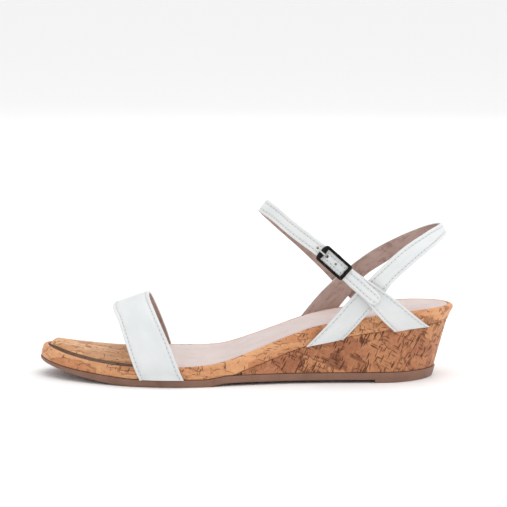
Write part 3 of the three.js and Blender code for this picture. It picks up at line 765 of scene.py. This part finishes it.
def rim_wrap():
    def wall(share):
        return loop(
            lambda x: -tuck(x) * share ** 2,
            lambda x: mix(rim_bottom(x) + 0.2, rim_top(x) - SHOULDER, share),
        )

    def shoulder(turn):
        across = SHOULDER * 0.85 * (1 - math.cos(turn))
        return loop(lambda x: -tuck(x) - across, lambda x: rim_top(x) - SHOULDER * (1 - math.sin(turn)))

    def inside(inset, drop):
        return loop(lambda x: -tuck(x) - inset, lambda x: rim_top(x) - drop)

    loops = [loop(-0.25, rim_bottom), *[wall(k / 5) for k in range(6)]]
    loops += [shoulder(math.pi / 2 * k / 8) for k in range(1, 9)]
    shaded_groove_starts = len(loops) + 2
    loops += [inside(LIP_REACH - 0.33, 0.06), inside(LIP_REACH - 0.08, 0.3), inside(LIP_REACH, 0.7)]
    loops += [inside(LIP_REACH, LIP_THICKNESS), inside(1, LIP_THICKNESS + 0.6), loop(-RIM_WALL, rim_bottom)]
    shell = band(loops)
    # Marks the loops in the groove for painted shade in the rim cork's colour.
    for k in range(shaded_groove_starts * OUTLINE_STEPS, (shaded_groove_starts + 3) * OUTLINE_STEPS):
        x, y, z = shell.laid[k]
        shell.laid[k] = (x, y, 1)
    made = shell.piece("rim_strip", rim_cork, "cork_rim", 60)
    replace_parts(made, "rim_cork_wrap")


def wedge_wrap():
    def low(x):
        return outsole_top(x) + GAP

    def high(x):
        return max(rim_bottom(x) - GAP, low(x) + GAP)

    loops = [loop(-0.5, lambda x, s=s: mix(low(x), high(x), s)) for s in (0, 0.2, 0.4, 0.6, 0.8, 1)]
    loops += [loop(-1.7, high), loop(-1.7, low)]
    made = band(loops).piece("wedge_sheet", wrap_cork, "cork_wrap", 50, [(WEDGE_FRONT, 1)])
    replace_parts(made, "wedge_cork_wrap")


def top_layer(name, front, back, finish, slot, replaced):
    """The sock or the toe cover, drawn down into the groove inside the rim."""
    def high(x):
        return foam_top(x) + GAP / 2 + SOCK_THICKNESS - rim_drop(x)

    places = [(3.3, -0.8), (3.42, -0.75), (3.46, -0.45), (3.6, -0.12), (3.9, 0.12), (4.4, 0.3)]
    loops = [loop(lambda x, d=d: -tuck(x) - d, lambda x, z=z: high(x) + z) for d, z in places]
    shell = stack(loops, CROWN_COLUMNS, crown)
    # Marks the loops drawn down into the groove for painted shade in the cork and sock colours.
    for k in range(3 * OUTLINE_STEPS):
        x, y, z = shell.laid[k]
        shell.laid[k] = (x, y, -1)
    made = shell.piece(name, finish, slot, 50, [(front, 1), (back, -1)])
    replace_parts(made, replaced)


def footbed():
    places = [(0.5, 0), (0.15, 0.05), (0, 0.2), (0, 0.8), (0.15, 0.95), (0.5, 1), (3, 1)]
    loops = [
        loop(lambda x, d=d: -RIM_WALL - GAP - max(tuck(x), 0) - d,
             lambda x, s=s: foam_top(x) - FOAM_THICKNESS + s * (FOAM_THICKNESS - rim_drop(x)))
        for d, s in places
    ]
    made = stack(loops, CROWN_COLUMNS, crown).piece("footbed_pad", foam, "foam", 50)
    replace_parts(made, "footbed_foam")


# ---------- Straps ----------
class Strap:
    """A strap's surface between two edges. Places on it are a row, a distance in from the left edge
    and a height off the surface."""

    def __init__(self, edges, tucked=True):
        self.edges, self.tucked = edges, tucked
        self.widths = [(b - a).length for a, b in edges]
        self.run = [0]
        for (a, b), (c, d) in zip(edges, edges[1:]):
            self.run.append(self.run[-1] + ((c + d) / 2 - (a + b) / 2).length)

    @classmethod
    def between(cls, left, right, steps, tucked=True):
        a, b = through(left), through(right)
        return cls([(a(i / steps), b(i / steps)) for i in range(steps + 1)], tucked)

    def on_surface(self, i, share):
        a, b = self.edges[i]
        p = a.lerp(b, share)
        if self.tucked and p.z < seat(p.x) + GAP:
            side = math.copysign(1, p.y)
            p.y = side * max(abs(p.y), rim_reach(p.x, side) + RIM_CLEARANCE)
        return p

    def place(self, i, inset, height):
        share = inset / self.widths[i]
        ahead = self.on_surface(min(i + 1, len(self.edges) - 1), share)
        along = ahead - self.on_surface(max(i - 1, 0), share)
        across = self.on_surface(i, min(share + 0.12, 1)) - self.on_surface(i, max(share - 0.12, 0))
        return self.on_surface(i, share) + along.cross(across).normalized() * height

    def at(self, run, inset, height):
        """The same, at a distance along the strap. A negative inset is from the right edge."""
        low, high = 0, len(self.run) - 1
        while high - low > 1:
            middle = (low + high) // 2
            low, high = (middle, high) if self.run[middle] <= run else (low, middle)
        share = (run - self.run[low]) / max(self.run[high] - self.run[low], 1e-6)
        pair = []
        for i in (low, high):
            drawn = min(1, self.widths[i] / SLIM_STRAP) * inset
            pair.append(self.place(i, drawn if inset >= 0 else self.widths[i] + drawn, height))
        return pair[0].lerp(pair[1], share)

    def lifted(self, height):
        moved = [(self.place(i, 0, height), self.place(i, w, height)) for i, w in enumerate(self.widths)]
        return Strap(moved, self.tucked)


def turned_edge(base, low, thickness, crown=0.12):
    """Half the section of a leather strap with its edge turned under, and how high its middle stands."""
    top = base + thickness
    half = [
        (1.5, base), (1.38, low), (0.45, low), (0.12, low + 0.12), (0, low + 0.42), (0.03, top - 0.46),
        (0.14, top - 0.2), (0.36, top - 0.05), (0.7, top), (1.5, top + 0.02), (1.8, top - 0.12),
        (STITCH_INSET, top - 0.22), (2.4, top - 0.12), (2.7, top + 0.03),
    ]
    return half, top, crown


def cut_edge(base, thickness):
    top = base + thickness
    return [(0.45, base), (0.25, base + 0.08), (0.2, (base + top) / 2), (0.3, top - 0.08), (0.6, top)], top, 0


def strap_shell(strap, section):
    half, top, crown = section
    shell = Shell()
    rings = []
    for i, width in enumerate(strap.widths):
        drawn = min(1, width / SLIM_STRAP)
        left = [(d * drawn, h) for d, h in half]
        inner = left[-1][0]
        middle = [
            (mix(inner, width - inner, s), top + 0.03 + crown * 4 * s * (1 - s))
            for s in (0.15, 0.3, 0.5, 0.7, 0.85)
        ]
        ring = left + (middle if crown else []) + [(width - d, h) for d, h in reversed(left)]
        places = [strap.place(i, d, h) for d, h in ring]
        laid = [(strap.run[i], d - width / 2, min(d, width - d) / drawn) for d, h in ring]
        rings.append(shell.ring(places, laid))
    for a, b in zip(rings, rings[1:]):
        shell.join(a, b)
    shell.faces += [tuple(rings[0][::-1]), tuple(rings[-1])]
    return shell


def stitched(name, strap, height, first=1.5, last=1.5, body="root", across=()):
    """Rows of thread along both edges; across adds rows at distances along the strap."""
    seams = []
    length = strap.run[-1]
    count = int((length - first - last) / STITCH_PITCH)
    start = (math.floor(first / STITCH_PITCH) + 1) * STITCH_PITCH
    for inset in (STITCH_INSET, -STITCH_INSET):
        for k in range(count):
            middle = start + k * STITCH_PITCH
            if middle + STITCH_LENGTH / 2 < length - last:
                seams.append([
                    strap.at(middle + s * STITCH_LENGTH / 2, inset, height + 0.16 - 0.42 * abs(s) ** 3)
                    for s in STITCH_STEPS
                ])
    for run, width in across:
        for k in range(int((width - 2 * STITCH_INSET) / END_STITCH_PITCH)):
            inset = STITCH_INSET + (k + 0.5) * END_STITCH_PITCH
            seams.append([
                strap.at(run, inset + s * 0.75, height + 0.24 - 0.4 * abs(s) ** 3) for s in STITCH_STEPS
            ])
    shell = Shell()
    for path in seams:
        rings = []
        ahead = (path[-1] - path[0]).normalized()
        side = ahead.orthogonal().normalized()
        other = ahead.cross(side)
        for k, p in enumerate(path):
            radius = THREAD_RADIUS * STITCH_SWELL[k]
            turns = [math.tau * t / 7 for t in range(7)]
            points = [p + (side * math.cos(t) + other * math.sin(t)) * radius for t in turns]
            rings.append(shell.ring(points, [((p - path[0]).length, radius * t, 0) for t in turns]))
        for a, b in zip(rings, rings[1:]):
            shell.join(a, b)
        shell.faces += [tuple(rings[0][::-1]), tuple(rings[-1])]
    return shell.piece(name, white_thread, "white_leather", 60, body=body)


def toe_strap():
    front = [
        on_outsole(0.2495, -1),
        over(0.2331, -1.029, 2.4), over(0.2168, -0.966, 12.8), over(0.1988, -0.772, 23.8),
        over(0.184, -0.398, 27.5), over(0.18, 0, 28), over(0.1824, 0.374, 26.5), over(0.1914, 0.678, 21.5),
        over(0.2065, 0.889, 11.1), over(0.2184, 0.973, 1.8), on_outsole(0.2249, 1),
    ]
    rear = [
        on_outsole(0.3538, -1),
        over(0.3378, -1.053, 2.4), over(0.3166, -0.971, 14.9), over(0.2904, -0.772, 27.7),
        over(0.2724, -0.398, 34.7), over(0.2667, 0, 36.4), over(0.2683, 0.351, 34), over(0.2781, 0.643, 26),
        over(0.2953, 0.842, 13.4), over(0.3092, 0.95, 2.4), on_outsole(0.319, 1),
    ]
    return Strap.between(rear, front, 220)


def heel_sling():
    front = [
        on_seam(0.6442, -1), over(0.6973, -1.11, 1), over(0.7554, -1.12, 15.1), over(0.8098, -1.092, 26.7),
        over(0.8699, -0.96, 37.8), over(0.9325, -0.574, 45.1), over(0.9677, 0, 47.5),
        over(0.9407, 0.487, 44.8), over(0.8822, 0.835, 38.9), over(0.811, 1.009, 31.1),
        over(0.7546, 1.05, 22.7), over(0.6871, 1.05, 10.5),
        on_seam(0.5971, 1),
    ]
    rear = [
        on_seam(0.7342, -1), over(0.7714, -1.117, -1.3), over(0.809, -1.123, 7.5), over(0.8507, -1.078, 19.3),
        over(0.908, -0.904, 29.9), over(0.9595, -0.522, 37.8), over(0.98, 0, 40.7), over(0.962, 0.452, 38.1),
        over(0.9121, 0.751, 32.8), over(0.8483, 0.974, 23.2), over(0.7951, 1.05, 15.8),
        over(0.7526, 1.057, 4.8),
        on_seam(0.6953, 1),
    ]
    return Strap.between(rear, front, 260)


def fixed_straps():
    base = LINING + PLY_GAP + TAPE + PLY_GAP
    for name, strap in (("toe_strap", toe_strap()), ("heel_sling", heel_sling())):
        outer = strap_shell(strap, turned_edge(base, LINING + 0.04, LEATHER))
        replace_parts(outer.piece(f"{name}_leather", white_leather, "white_leather", 60), f"{name}_outer")
        lining = strap_shell(strap, cut_edge(0, LINING))
        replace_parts(lining.piece(f"{name}_inside", lining_leather, "lining_leather", 60), f"{name}_lining")
        stitched(f"{name}_thread", strap, base + LEATHER - 0.2)


def buckle_strap(last):
    half = BILLET_WIDTH / 2
    front = [
        on_seam(0.8532, -1), over_sling(0.8164, -1.12, 0.9), over_sling(0.7771, -1.123, 13.3),
        at_buckle(16, half + 0.6, 0), at_buckle(last, half, 0),
    ]
    rear = [
        on_seam(0.9382, -1), over_sling(0.8875, -1.019, 2.3), over_sling(0.8344, -1.123, 14.5),
        at_buckle(16, -half - 0.6, 0), at_buckle(last, -half, 0),
    ]
    return Strap.between(rear, front, 110)


def buckle_strap_pieces():
    lining = strap_shell(buckle_strap(9), cut_edge(0, LINING)).piece(
        "buckle_strap_inside", lining_leather, "lining_leather", 60)
    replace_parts(lining, "buckle_strap_lining")
    edges = list(buckle_strap(6).lifted(LOOP_RADIUS).edges)
    places = [(4.5, LOOP_RADIUS), (3, LOOP_RADIUS), (1.5, LOOP_RADIUS)]
    turns = [math.pi * (0.5 + k / 16) for k in range(17)]
    places += [(LOOP_RADIUS * math.cos(turn), LOOP_RADIUS * math.sin(turn)) for turn in turns]
    places += [(1.5, -LOOP_RADIUS), (3, -LOOP_RADIUS), (7, -0.7 * LOOP_RADIUS)]
    half = BILLET_WIDTH / 2
    edges += [(at_buckle(along, -half, out), at_buckle(along, half, out)) for along, out in places]
    strap = Strap(edges)
    made = strap_shell(strap, turned_edge(0.02, 0, LEATHER, 0.06)).piece(
        "buckle_strap_leather", white_leather, "white_leather", 60)
    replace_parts(made, "buckle_strap_outer")
    main = buckle_strap(10).lifted(LOOP_RADIUS)
    stitched("buckle_strap_thread", main, LEATHER - 0.2, across=[(main.run[-1] - 1.2, BILLET_WIDTH)])
    prong_slot = [(-4, -1.6), (3, -1.6), (3, 1.6), (-4, 1.6)]
    punch(made, [prism(prong_slot, -4.5, 4.5)])


def ankle_strap():
    half = BILLET_WIDTH / 2
    billet = [
        (-10, 1, BILLET_LEVEL - 0.5), (-4, 1, BILLET_LEVEL), (4, 1, BILLET_LEVEL),
        (14, 1, BILLET_LEVEL), (TAIL_LENGTH - 8, 1, BILLET_LEVEL), (TAIL_LENGTH - 3.4, 0.98, BILLET_LEVEL),
        (TAIL_LENGTH - 1.4, 0.8, BILLET_LEVEL), (TAIL_LENGTH - 0.4, 0.5, BILLET_LEVEL),
        (TAIL_LENGTH, 0.2, BILLET_LEVEL),
    ]
    front = [
        on_seam(0.8, 1), over_sling(0.7624, 1.047, 2.2), over_sling(0.731, 1.08, 10.5),
        over_sling(0.695, 1.07, 21.5), over(0.6325, 0.91, 41.2), over(0.5715, 0.437, 61.5),
        over(0.5347, 0, 75.4), over(0.5635, -0.276, 69), over(0.5918, -0.649, 61.6),
        over(0.6153, -0.909, 55.6),
    ]
    rear = [
        on_seam(0.8851, 1), over_sling(0.836, 1.005, 3), over_sling(0.7779, 1.068, 14),
        over_sling(0.723, 1.07, 27), over(0.6591, 0.922, 46), over(0.5981, 0.459, 65.8),
        over(0.5575, 0, 80.2), over(0.5851, -0.288, 73.4), over(0.6133, -0.671, 66),
        over(0.6367, -0.93, 60.2),
    ]
    front += [at_buckle(along, share * half, out) for along, share, out in billet]
    rear += [at_buckle(along, -share * half, out) for along, share, out in billet]
    return Strap.between(front, rear, 360)


def punch(made, tools):
    """Cuts round or square-ended holes through a strap."""
    for tool in tools:
        cutter = bpy.data.objects.new("punch", tool)
        bpy.context.scene.collection.objects.link(cutter)
        made.modifiers.new("punch", "BOOLEAN").object = cutter
        bpy.context.view_layer.update()
        cut = bpy.data.meshes.new_from_object(made.evaluated_get(bpy.context.evaluated_depsgraph_get()))
        made.modifiers.clear()
        old = made.data
        made.data = cut
        bpy.data.meshes.remove(old)
        bpy.data.objects.remove(cutter)
        bpy.data.meshes.remove(tool)
    made.data.name = made.name


def prism(outline_points, low, high):
    """A cutting tool through the buckle's place: (along, across) corners between two heights."""
    count = len(outline_points)
    points = [world(at_buckle(a, c, out)) for out in (low, high) for a, c in outline_points]
    faces = [tuple(range(count))[::-1], tuple(range(count, 2 * count))]
    faces += [(i, (i + 1) % count, count + (i + 1) % count, count + i) for i in range(count)]
    tool = bpy.data.meshes.new("tool")
    tool.from_pydata([*points], [], faces)
    work = bmesh.new()
    work.from_mesh(tool)
    bmesh.ops.recalc_face_normals(work, faces=work.faces)
    work.to_mesh(tool)
    work.free()
    return tool


def round_hole(along, radius):
    turns = [math.tau * k / 28 for k in range(28)]
    return [(along + radius * math.cos(t), radius * math.sin(t)) for t in turns]


def relay(made, run_at_pin):
    """Lays the cut faces round the holes flat again, and gives the hole walls painted shade."""
    laid = made.data.attributes["laid"]
    for vertex, place in zip(made.data.vertices, laid.data):
        p = vertex.co * 1000 - shift - PIN_PLACE
        along, across = p.dot(ALONG), p.dot(ACROSS)
        if abs(across) < 2.4 and -9 < along < 11 and p.y < 3:
            inset = BILLET_WIDTH / 2 - abs(across)
            place.vector = Vector((run_at_pin + along, across, inset)) / 1000
    # The hole walls get the near-black finish: painted shade in the holes.
    made.data.materials.append(hole_wall_shade)
    for face in made.data.polygons:
        p = face.center * 1000 - shift - PIN_PLACE
        along, across = p.dot(ALONG), p.dot(ACROSS)
        near = min(math.hypot(along - place, across) for place in HOLE_PLACES)
        if near < 1.2 and abs(p.y) < 6 and abs(face.normal.dot(OUT)) < 0.5:
            face.material_index = 1


def ankle_strap_pieces():
    strap = ankle_strap()

    def from_pin(i):
        a, b = strap.edges[i]
        return abs(((a + b) / 2 - PIN_PLACE).dot(ALONG))

    pin_row = min(range(len(strap.edges) // 2, len(strap.edges)), key=from_pin)
    holes = [
        round_hole(place, PRONG_HOLE_RADIUS if place == PRONG_PLACE else HOLE_RADIUS) for place in HOLE_PLACES
    ]
    base = LINING + PLY_GAP
    outer_section = turned_edge(base, LINING + 0.04, LEATHER, 0.08)
    inner_section = cut_edge(0, LINING)
    plies = [
        ("ankle_strap_leather", outer_section, white_leather, "white_leather", "ankle_strap_outer"),
        ("ankle_strap_inside", inner_section, lining_leather, "lining_leather", "ankle_strap_lining"),
    ]
    made = []
    for name, section, finish, slot, replaced in plies:
        ply = strap_shell(strap, section).piece(name, finish, slot, 60, body=None)
        punch(ply, [prism(hole, BILLET_LEVEL - 3, BILLET_LEVEL + 4) for hole in holes])
        relay(ply, strap.run[pin_row])
        ply.data.set_sharp_from_angle(angle=math.radians(60))
        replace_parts(ply, replaced)
        made.append(ply)
    made.append(stitched("ankle_strap_thread", strap, base + LEATHER - 0.2, last=3.4, body=None,
                         across=[(strap.run[-1] - 2.3, 6.6)]))
    for ply in made:
        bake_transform(ply)


# ---------- Buckle ----------
def rounded_end(length, width, corner, bulge, count=14):
    """Corners of a rounded oblong as (along, across). Its front end bulges."""
    points = []
    for sign_a, sign_b, begin in ((1, 1, 0), (-1, 1, 0.5), (-1, -1, 1), (1, -1, 1.5)):
        for k in range(count + 1):
            turn = math.pi * (begin + 0.5 * k / count)
            a = sign_a * (length / 2 - corner) + corner * math.cos(turn)
            c = sign_b * (width / 2 - corner) + corner * math.sin(turn)
            points.append((a, c))
        if sign_a != sign_b:
            for k in range(1, 12):
                points.append((sign_a * length / 2, mix(sign_b, -sign_b, k / 12) * (width / 2 - corner)))
    return [(a - bulge * max(0, 1 - (2 * c / width) ** 2) * (a < 0), c) for a, c in points]


def buckle_frame():
    shell = Shell()
    outer = rounded_end(BUCKLE_LENGTH, OUTER_WIDTH - 0.5, 1.5, 0.9)
    inner = rounded_end(BUCKLE_LENGTH - 2.2 * BUCKLE_BAR, INNER_WIDTH - 1.4, 0.6, -0.5)
    section = [(0.12, 0), (0, 0.16), (0, 0.8), (0.07, 1.05), (0.24, 1.24), (0.42, 1.3),
               (0.62, 1.26), (0.85, 1.1), (1, 0.84), (1, 0.14), (0.9, 0)]
    groove = {0.24: 0.16, 0.42: 0.38}
    rings = []
    for share, height in section:
        points, laid = [], []
        for (a, c), (b, d) in zip(outer, inner):
            along, across = mix(a, b, share), mix(c, d, share)
            front = smoothstep(-a, BUCKLE_LENGTH / 2 - 1.2, BUCKLE_LENGTH / 2 - 0.2)
            ridge = 0.25 if share < 0.2 and height > 0.5 else 0
            z = FRAME_LEVEL + height + front * (ridge - groove.get(share, 0))
            points.append(at_buckle(along, across, z))
            laid.append((along, across, z))
        rings.append(shell.ring(points, laid))
    for a, b in zip(rings, [*rings[1:], rings[0]]):
        shell.join(a, b)
    for side in (-1, 1):
        middle = side * (INNER_WIDTH + BUCKLE_RAIL) / 2
        ears = []
        for k, across in enumerate((middle - side * 0.55, middle - side * 0.45, middle, middle + side * 0.1)):
            shrink = 0.12 if k in (0, 3) else 0
            edge = [(-1.3 + shrink, 4.6), *[
                ((1.3 - shrink) * math.cos(t), -0.1 + (1.15 - shrink) * math.sin(t))
                for t in [math.pi * (1 + k / 12) for k in range(13)]
            ], (1.3 - shrink, 4.6)]
            ears.append(shell.ring([at_buckle(a, across, out) for a, out in edge],
                                   [(a, across, out) for a, out in edge]))
        for a, b in zip(ears, ears[1:]):
            shell.join(a, b)
        shell.faces += [tuple(ears[0][::-1]), tuple(ears[-1])]
    made = shell.piece("buckle_loop", gunmetal, "gunmetal", 40, body="buckle")
    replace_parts(made, "buckle_frame")


def tube(places, radii, sides=20):
    """A round bar along places given as (along, across, out)."""
    shell = Shell()
    points = [at_buckle(*place) for place in places]
    rings = []
    for k, p in enumerate(points):
        ahead = (points[min(k + 1, len(points) - 1)] - points[max(k - 1, 0)]).normalized()
        side = ahead.cross(ACROSS if abs(ahead.dot(ACROSS)) < 0.9 else OUT).normalized()
        other = ahead.cross(side)
        turns = [math.tau * t / sides for t in range(sides)]
        rings.append(shell.ring(
            [p + (side * math.cos(t) + other * math.sin(t)) * radii[k] for t in turns],
            [((p - points[0]).length, radii[k] * t, 0) for t in turns]))
    for a, b in zip(rings, rings[1:]):
        shell.join(a, b)
    shell.faces += [tuple(rings[0][::-1]), tuple(rings[-1])]
    return shell


def buckle_pin():
    half = OUTER_WIDTH / 2 - 0.6
    places = [(0, a, 0) for a in (-half - 0.12, -half - 0.08, -half, half, half + 0.08, half + 0.12)]
    radii = [0.3, 0.5, PIN_RADIUS, PIN_RADIUS, 0.5, 0.3]
    made = tube(places, radii).piece("buckle_axle", gunmetal, "gunmetal", 60, body="buckle")
    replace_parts(made, "buckle_pin")


def buckle_prong():
    rest = FRAME_LEVEL + BUCKLE_THICKNESS + GAP + PRONG_RADIUS
    route = through([Vector(p) for p in (
        (-1.2, 0, 0.1), (-2.6, 0, 0.2), (-4, 0, 0.7), (-5.6, 0, 0.5 * rest), (-7.2, 0, rest - 0.4),
        (-8.8, 0, rest + 0.1), (-BUCKLE_LENGTH / 2 - 0.9, 0, rest - 0.1))])
    shares = [k / 40 for k in range(41)]
    places = [tuple(route(s)) for s in shares]
    radii = [PRONG_RADIUS * (1 - 0.15 * s) for s in shares]
    tip = Vector(places[-1])
    for step, size in ((0.25, 0.9), (0.42, 0.68), (0.5, 0.3)):
        places.append((tip.x - step, 0, tip.z - step * 0.1))
        radii.append(PRONG_RADIUS * 0.85 * size)
    shell = tube(places, radii)
    inside, outside, half = 0.72, 1.45, 1.1
    ring_section = [
        (inside, -half), (inside, half), (inside + 0.12, half), (outside - 0.15, half),
        (outside, half - 0.18), (outside, 0.18 - half), (outside - 0.15, -half), (inside + 0.12, -half),
    ]
    rings = []
    for k in range(32):
        turn = math.tau * k / 32
        rings.append(shell.ring(
            [at_buckle(r * math.cos(turn), a, r * math.sin(turn)) for r, a in ring_section],
            [(r * turn, a, r) for r, a in ring_section]))
    for a, b in zip(rings, [*rings[1:], rings[0]]):
        shell.join(a, b)
    made = shell.piece("buckle_tongue", bright_steel, "bright_steel", 45, body="prong")
    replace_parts(made, "buckle_prong")


# ---------- The hidden layers ----------
def hidden_layers():
    finishes = {
        "wedge_core": cork_core, "forepart_filler": cork_core, "insole_board": fibre_board,
        "steel_shank": spring_steel, "toe_strap_tape": tape_weave, "heel_sling_tape": tape_weave,
        **{f"heel_nail_{k}": spring_steel for k in range(1, 6)},
    }
    for name, finish in finishes.items():
        node = frame["nodes"][name]
        for k in range(max(len(node.material_slots), 1)):
            if len(node.material_slots):
                node.material_slots[k].material = finish
            else:
                node.data.materials.append(finish)


# ---------- Floor, light and camera ----------
def studio():
    bpy.context.scene.view_settings.view_transform = "Standard"
    room = bpy.data.worlds.new("studio")
    room.use_nodes = True
    room.node_tree.nodes["Background"].inputs["Color"].default_value = (1, 1, 1, 1)
    room.node_tree.nodes["Background"].inputs["Strength"].default_value = 0.93
    bpy.context.scene.world = room
    mesh = bpy.data.meshes.new("floor")
    mesh.from_pydata([(-40, -40, 0), (40, -40, 0), (40, 40, 0), (-40, 40, 0)], [], [(0, 1, 2, 3)])
    floor = bpy.data.objects.new("floor", mesh)
    bpy.context.scene.collection.objects.link(floor)
    paper = Finish("white paper")
    floor.data.materials.append(paper.surface(Base_Color=(0.97, 0.97, 0.97, 1), Roughness=1.0))
    lamps = [
        ("overhead", (0.1, -0.25, 1.6), 1.4, 7), ("right", (1.3, -0.5, 0.7), 0.8, 3),
        ("back", (0.3, 1.4, 0.9), 1.0, 3),
    ]
    for name, place, size, power in lamps:
        data = bpy.data.lights.new(name, "AREA")
        data.size = size
        data.energy = power
        lamp = bpy.data.objects.new(name, data)
        lamp.location = place
        lamp.rotation_euler = (Vector((0, 0, 0.04)) - Vector(place)).to_track_quat("-Z", "Y").to_euler()
        bpy.context.scene.collection.objects.link(lamp)


def camera():
    aim = Vector((0.00483, 0.0016, 0.0726))
    slope = math.radians(7.84)
    back = Vector((0, -math.cos(slope), math.sin(slope)))
    data = bpy.data.cameras.new("camera")
    data.sensor_width = 36
    data.lens = 179.574
    data.clip_start = 0.05
    view = bpy.data.objects.new("camera", data)
    view.location = aim + back * 1.5
    view.rotation_euler = (-back).to_track_quat("-Z", "Y").to_euler()
    bpy.context.scene.collection.objects.link(view)
    bpy.context.scene.camera = view


studio()
camera()
outsole()
heel_lift()
tread_ribs("forepart_tread", 14, TREAD_ENDS, outsole_bottom)
tread_ribs("heel_tread", HEEL_BREAST + 5, SOLE_LENGTH - 8, lambda x: 0)
wedge_wrap()
rim_wrap()
footbed()
top_layer("toe_cover", -SOLE_LENGTH, SPRING_BEGINS - 0.1, cover_cork, "cork_cover", "toe_cork_cover")
top_layer("sock", SPRING_BEGINS + 0.1, 2 * SOLE_LENGTH, sock_leather, "sock_leather", "sock_lining")
fixed_straps()
buckle_strap_pieces()
ankle_strap_pieces()
buckle_frame()
buckle_pin()
buckle_prong()
hidden_layers()
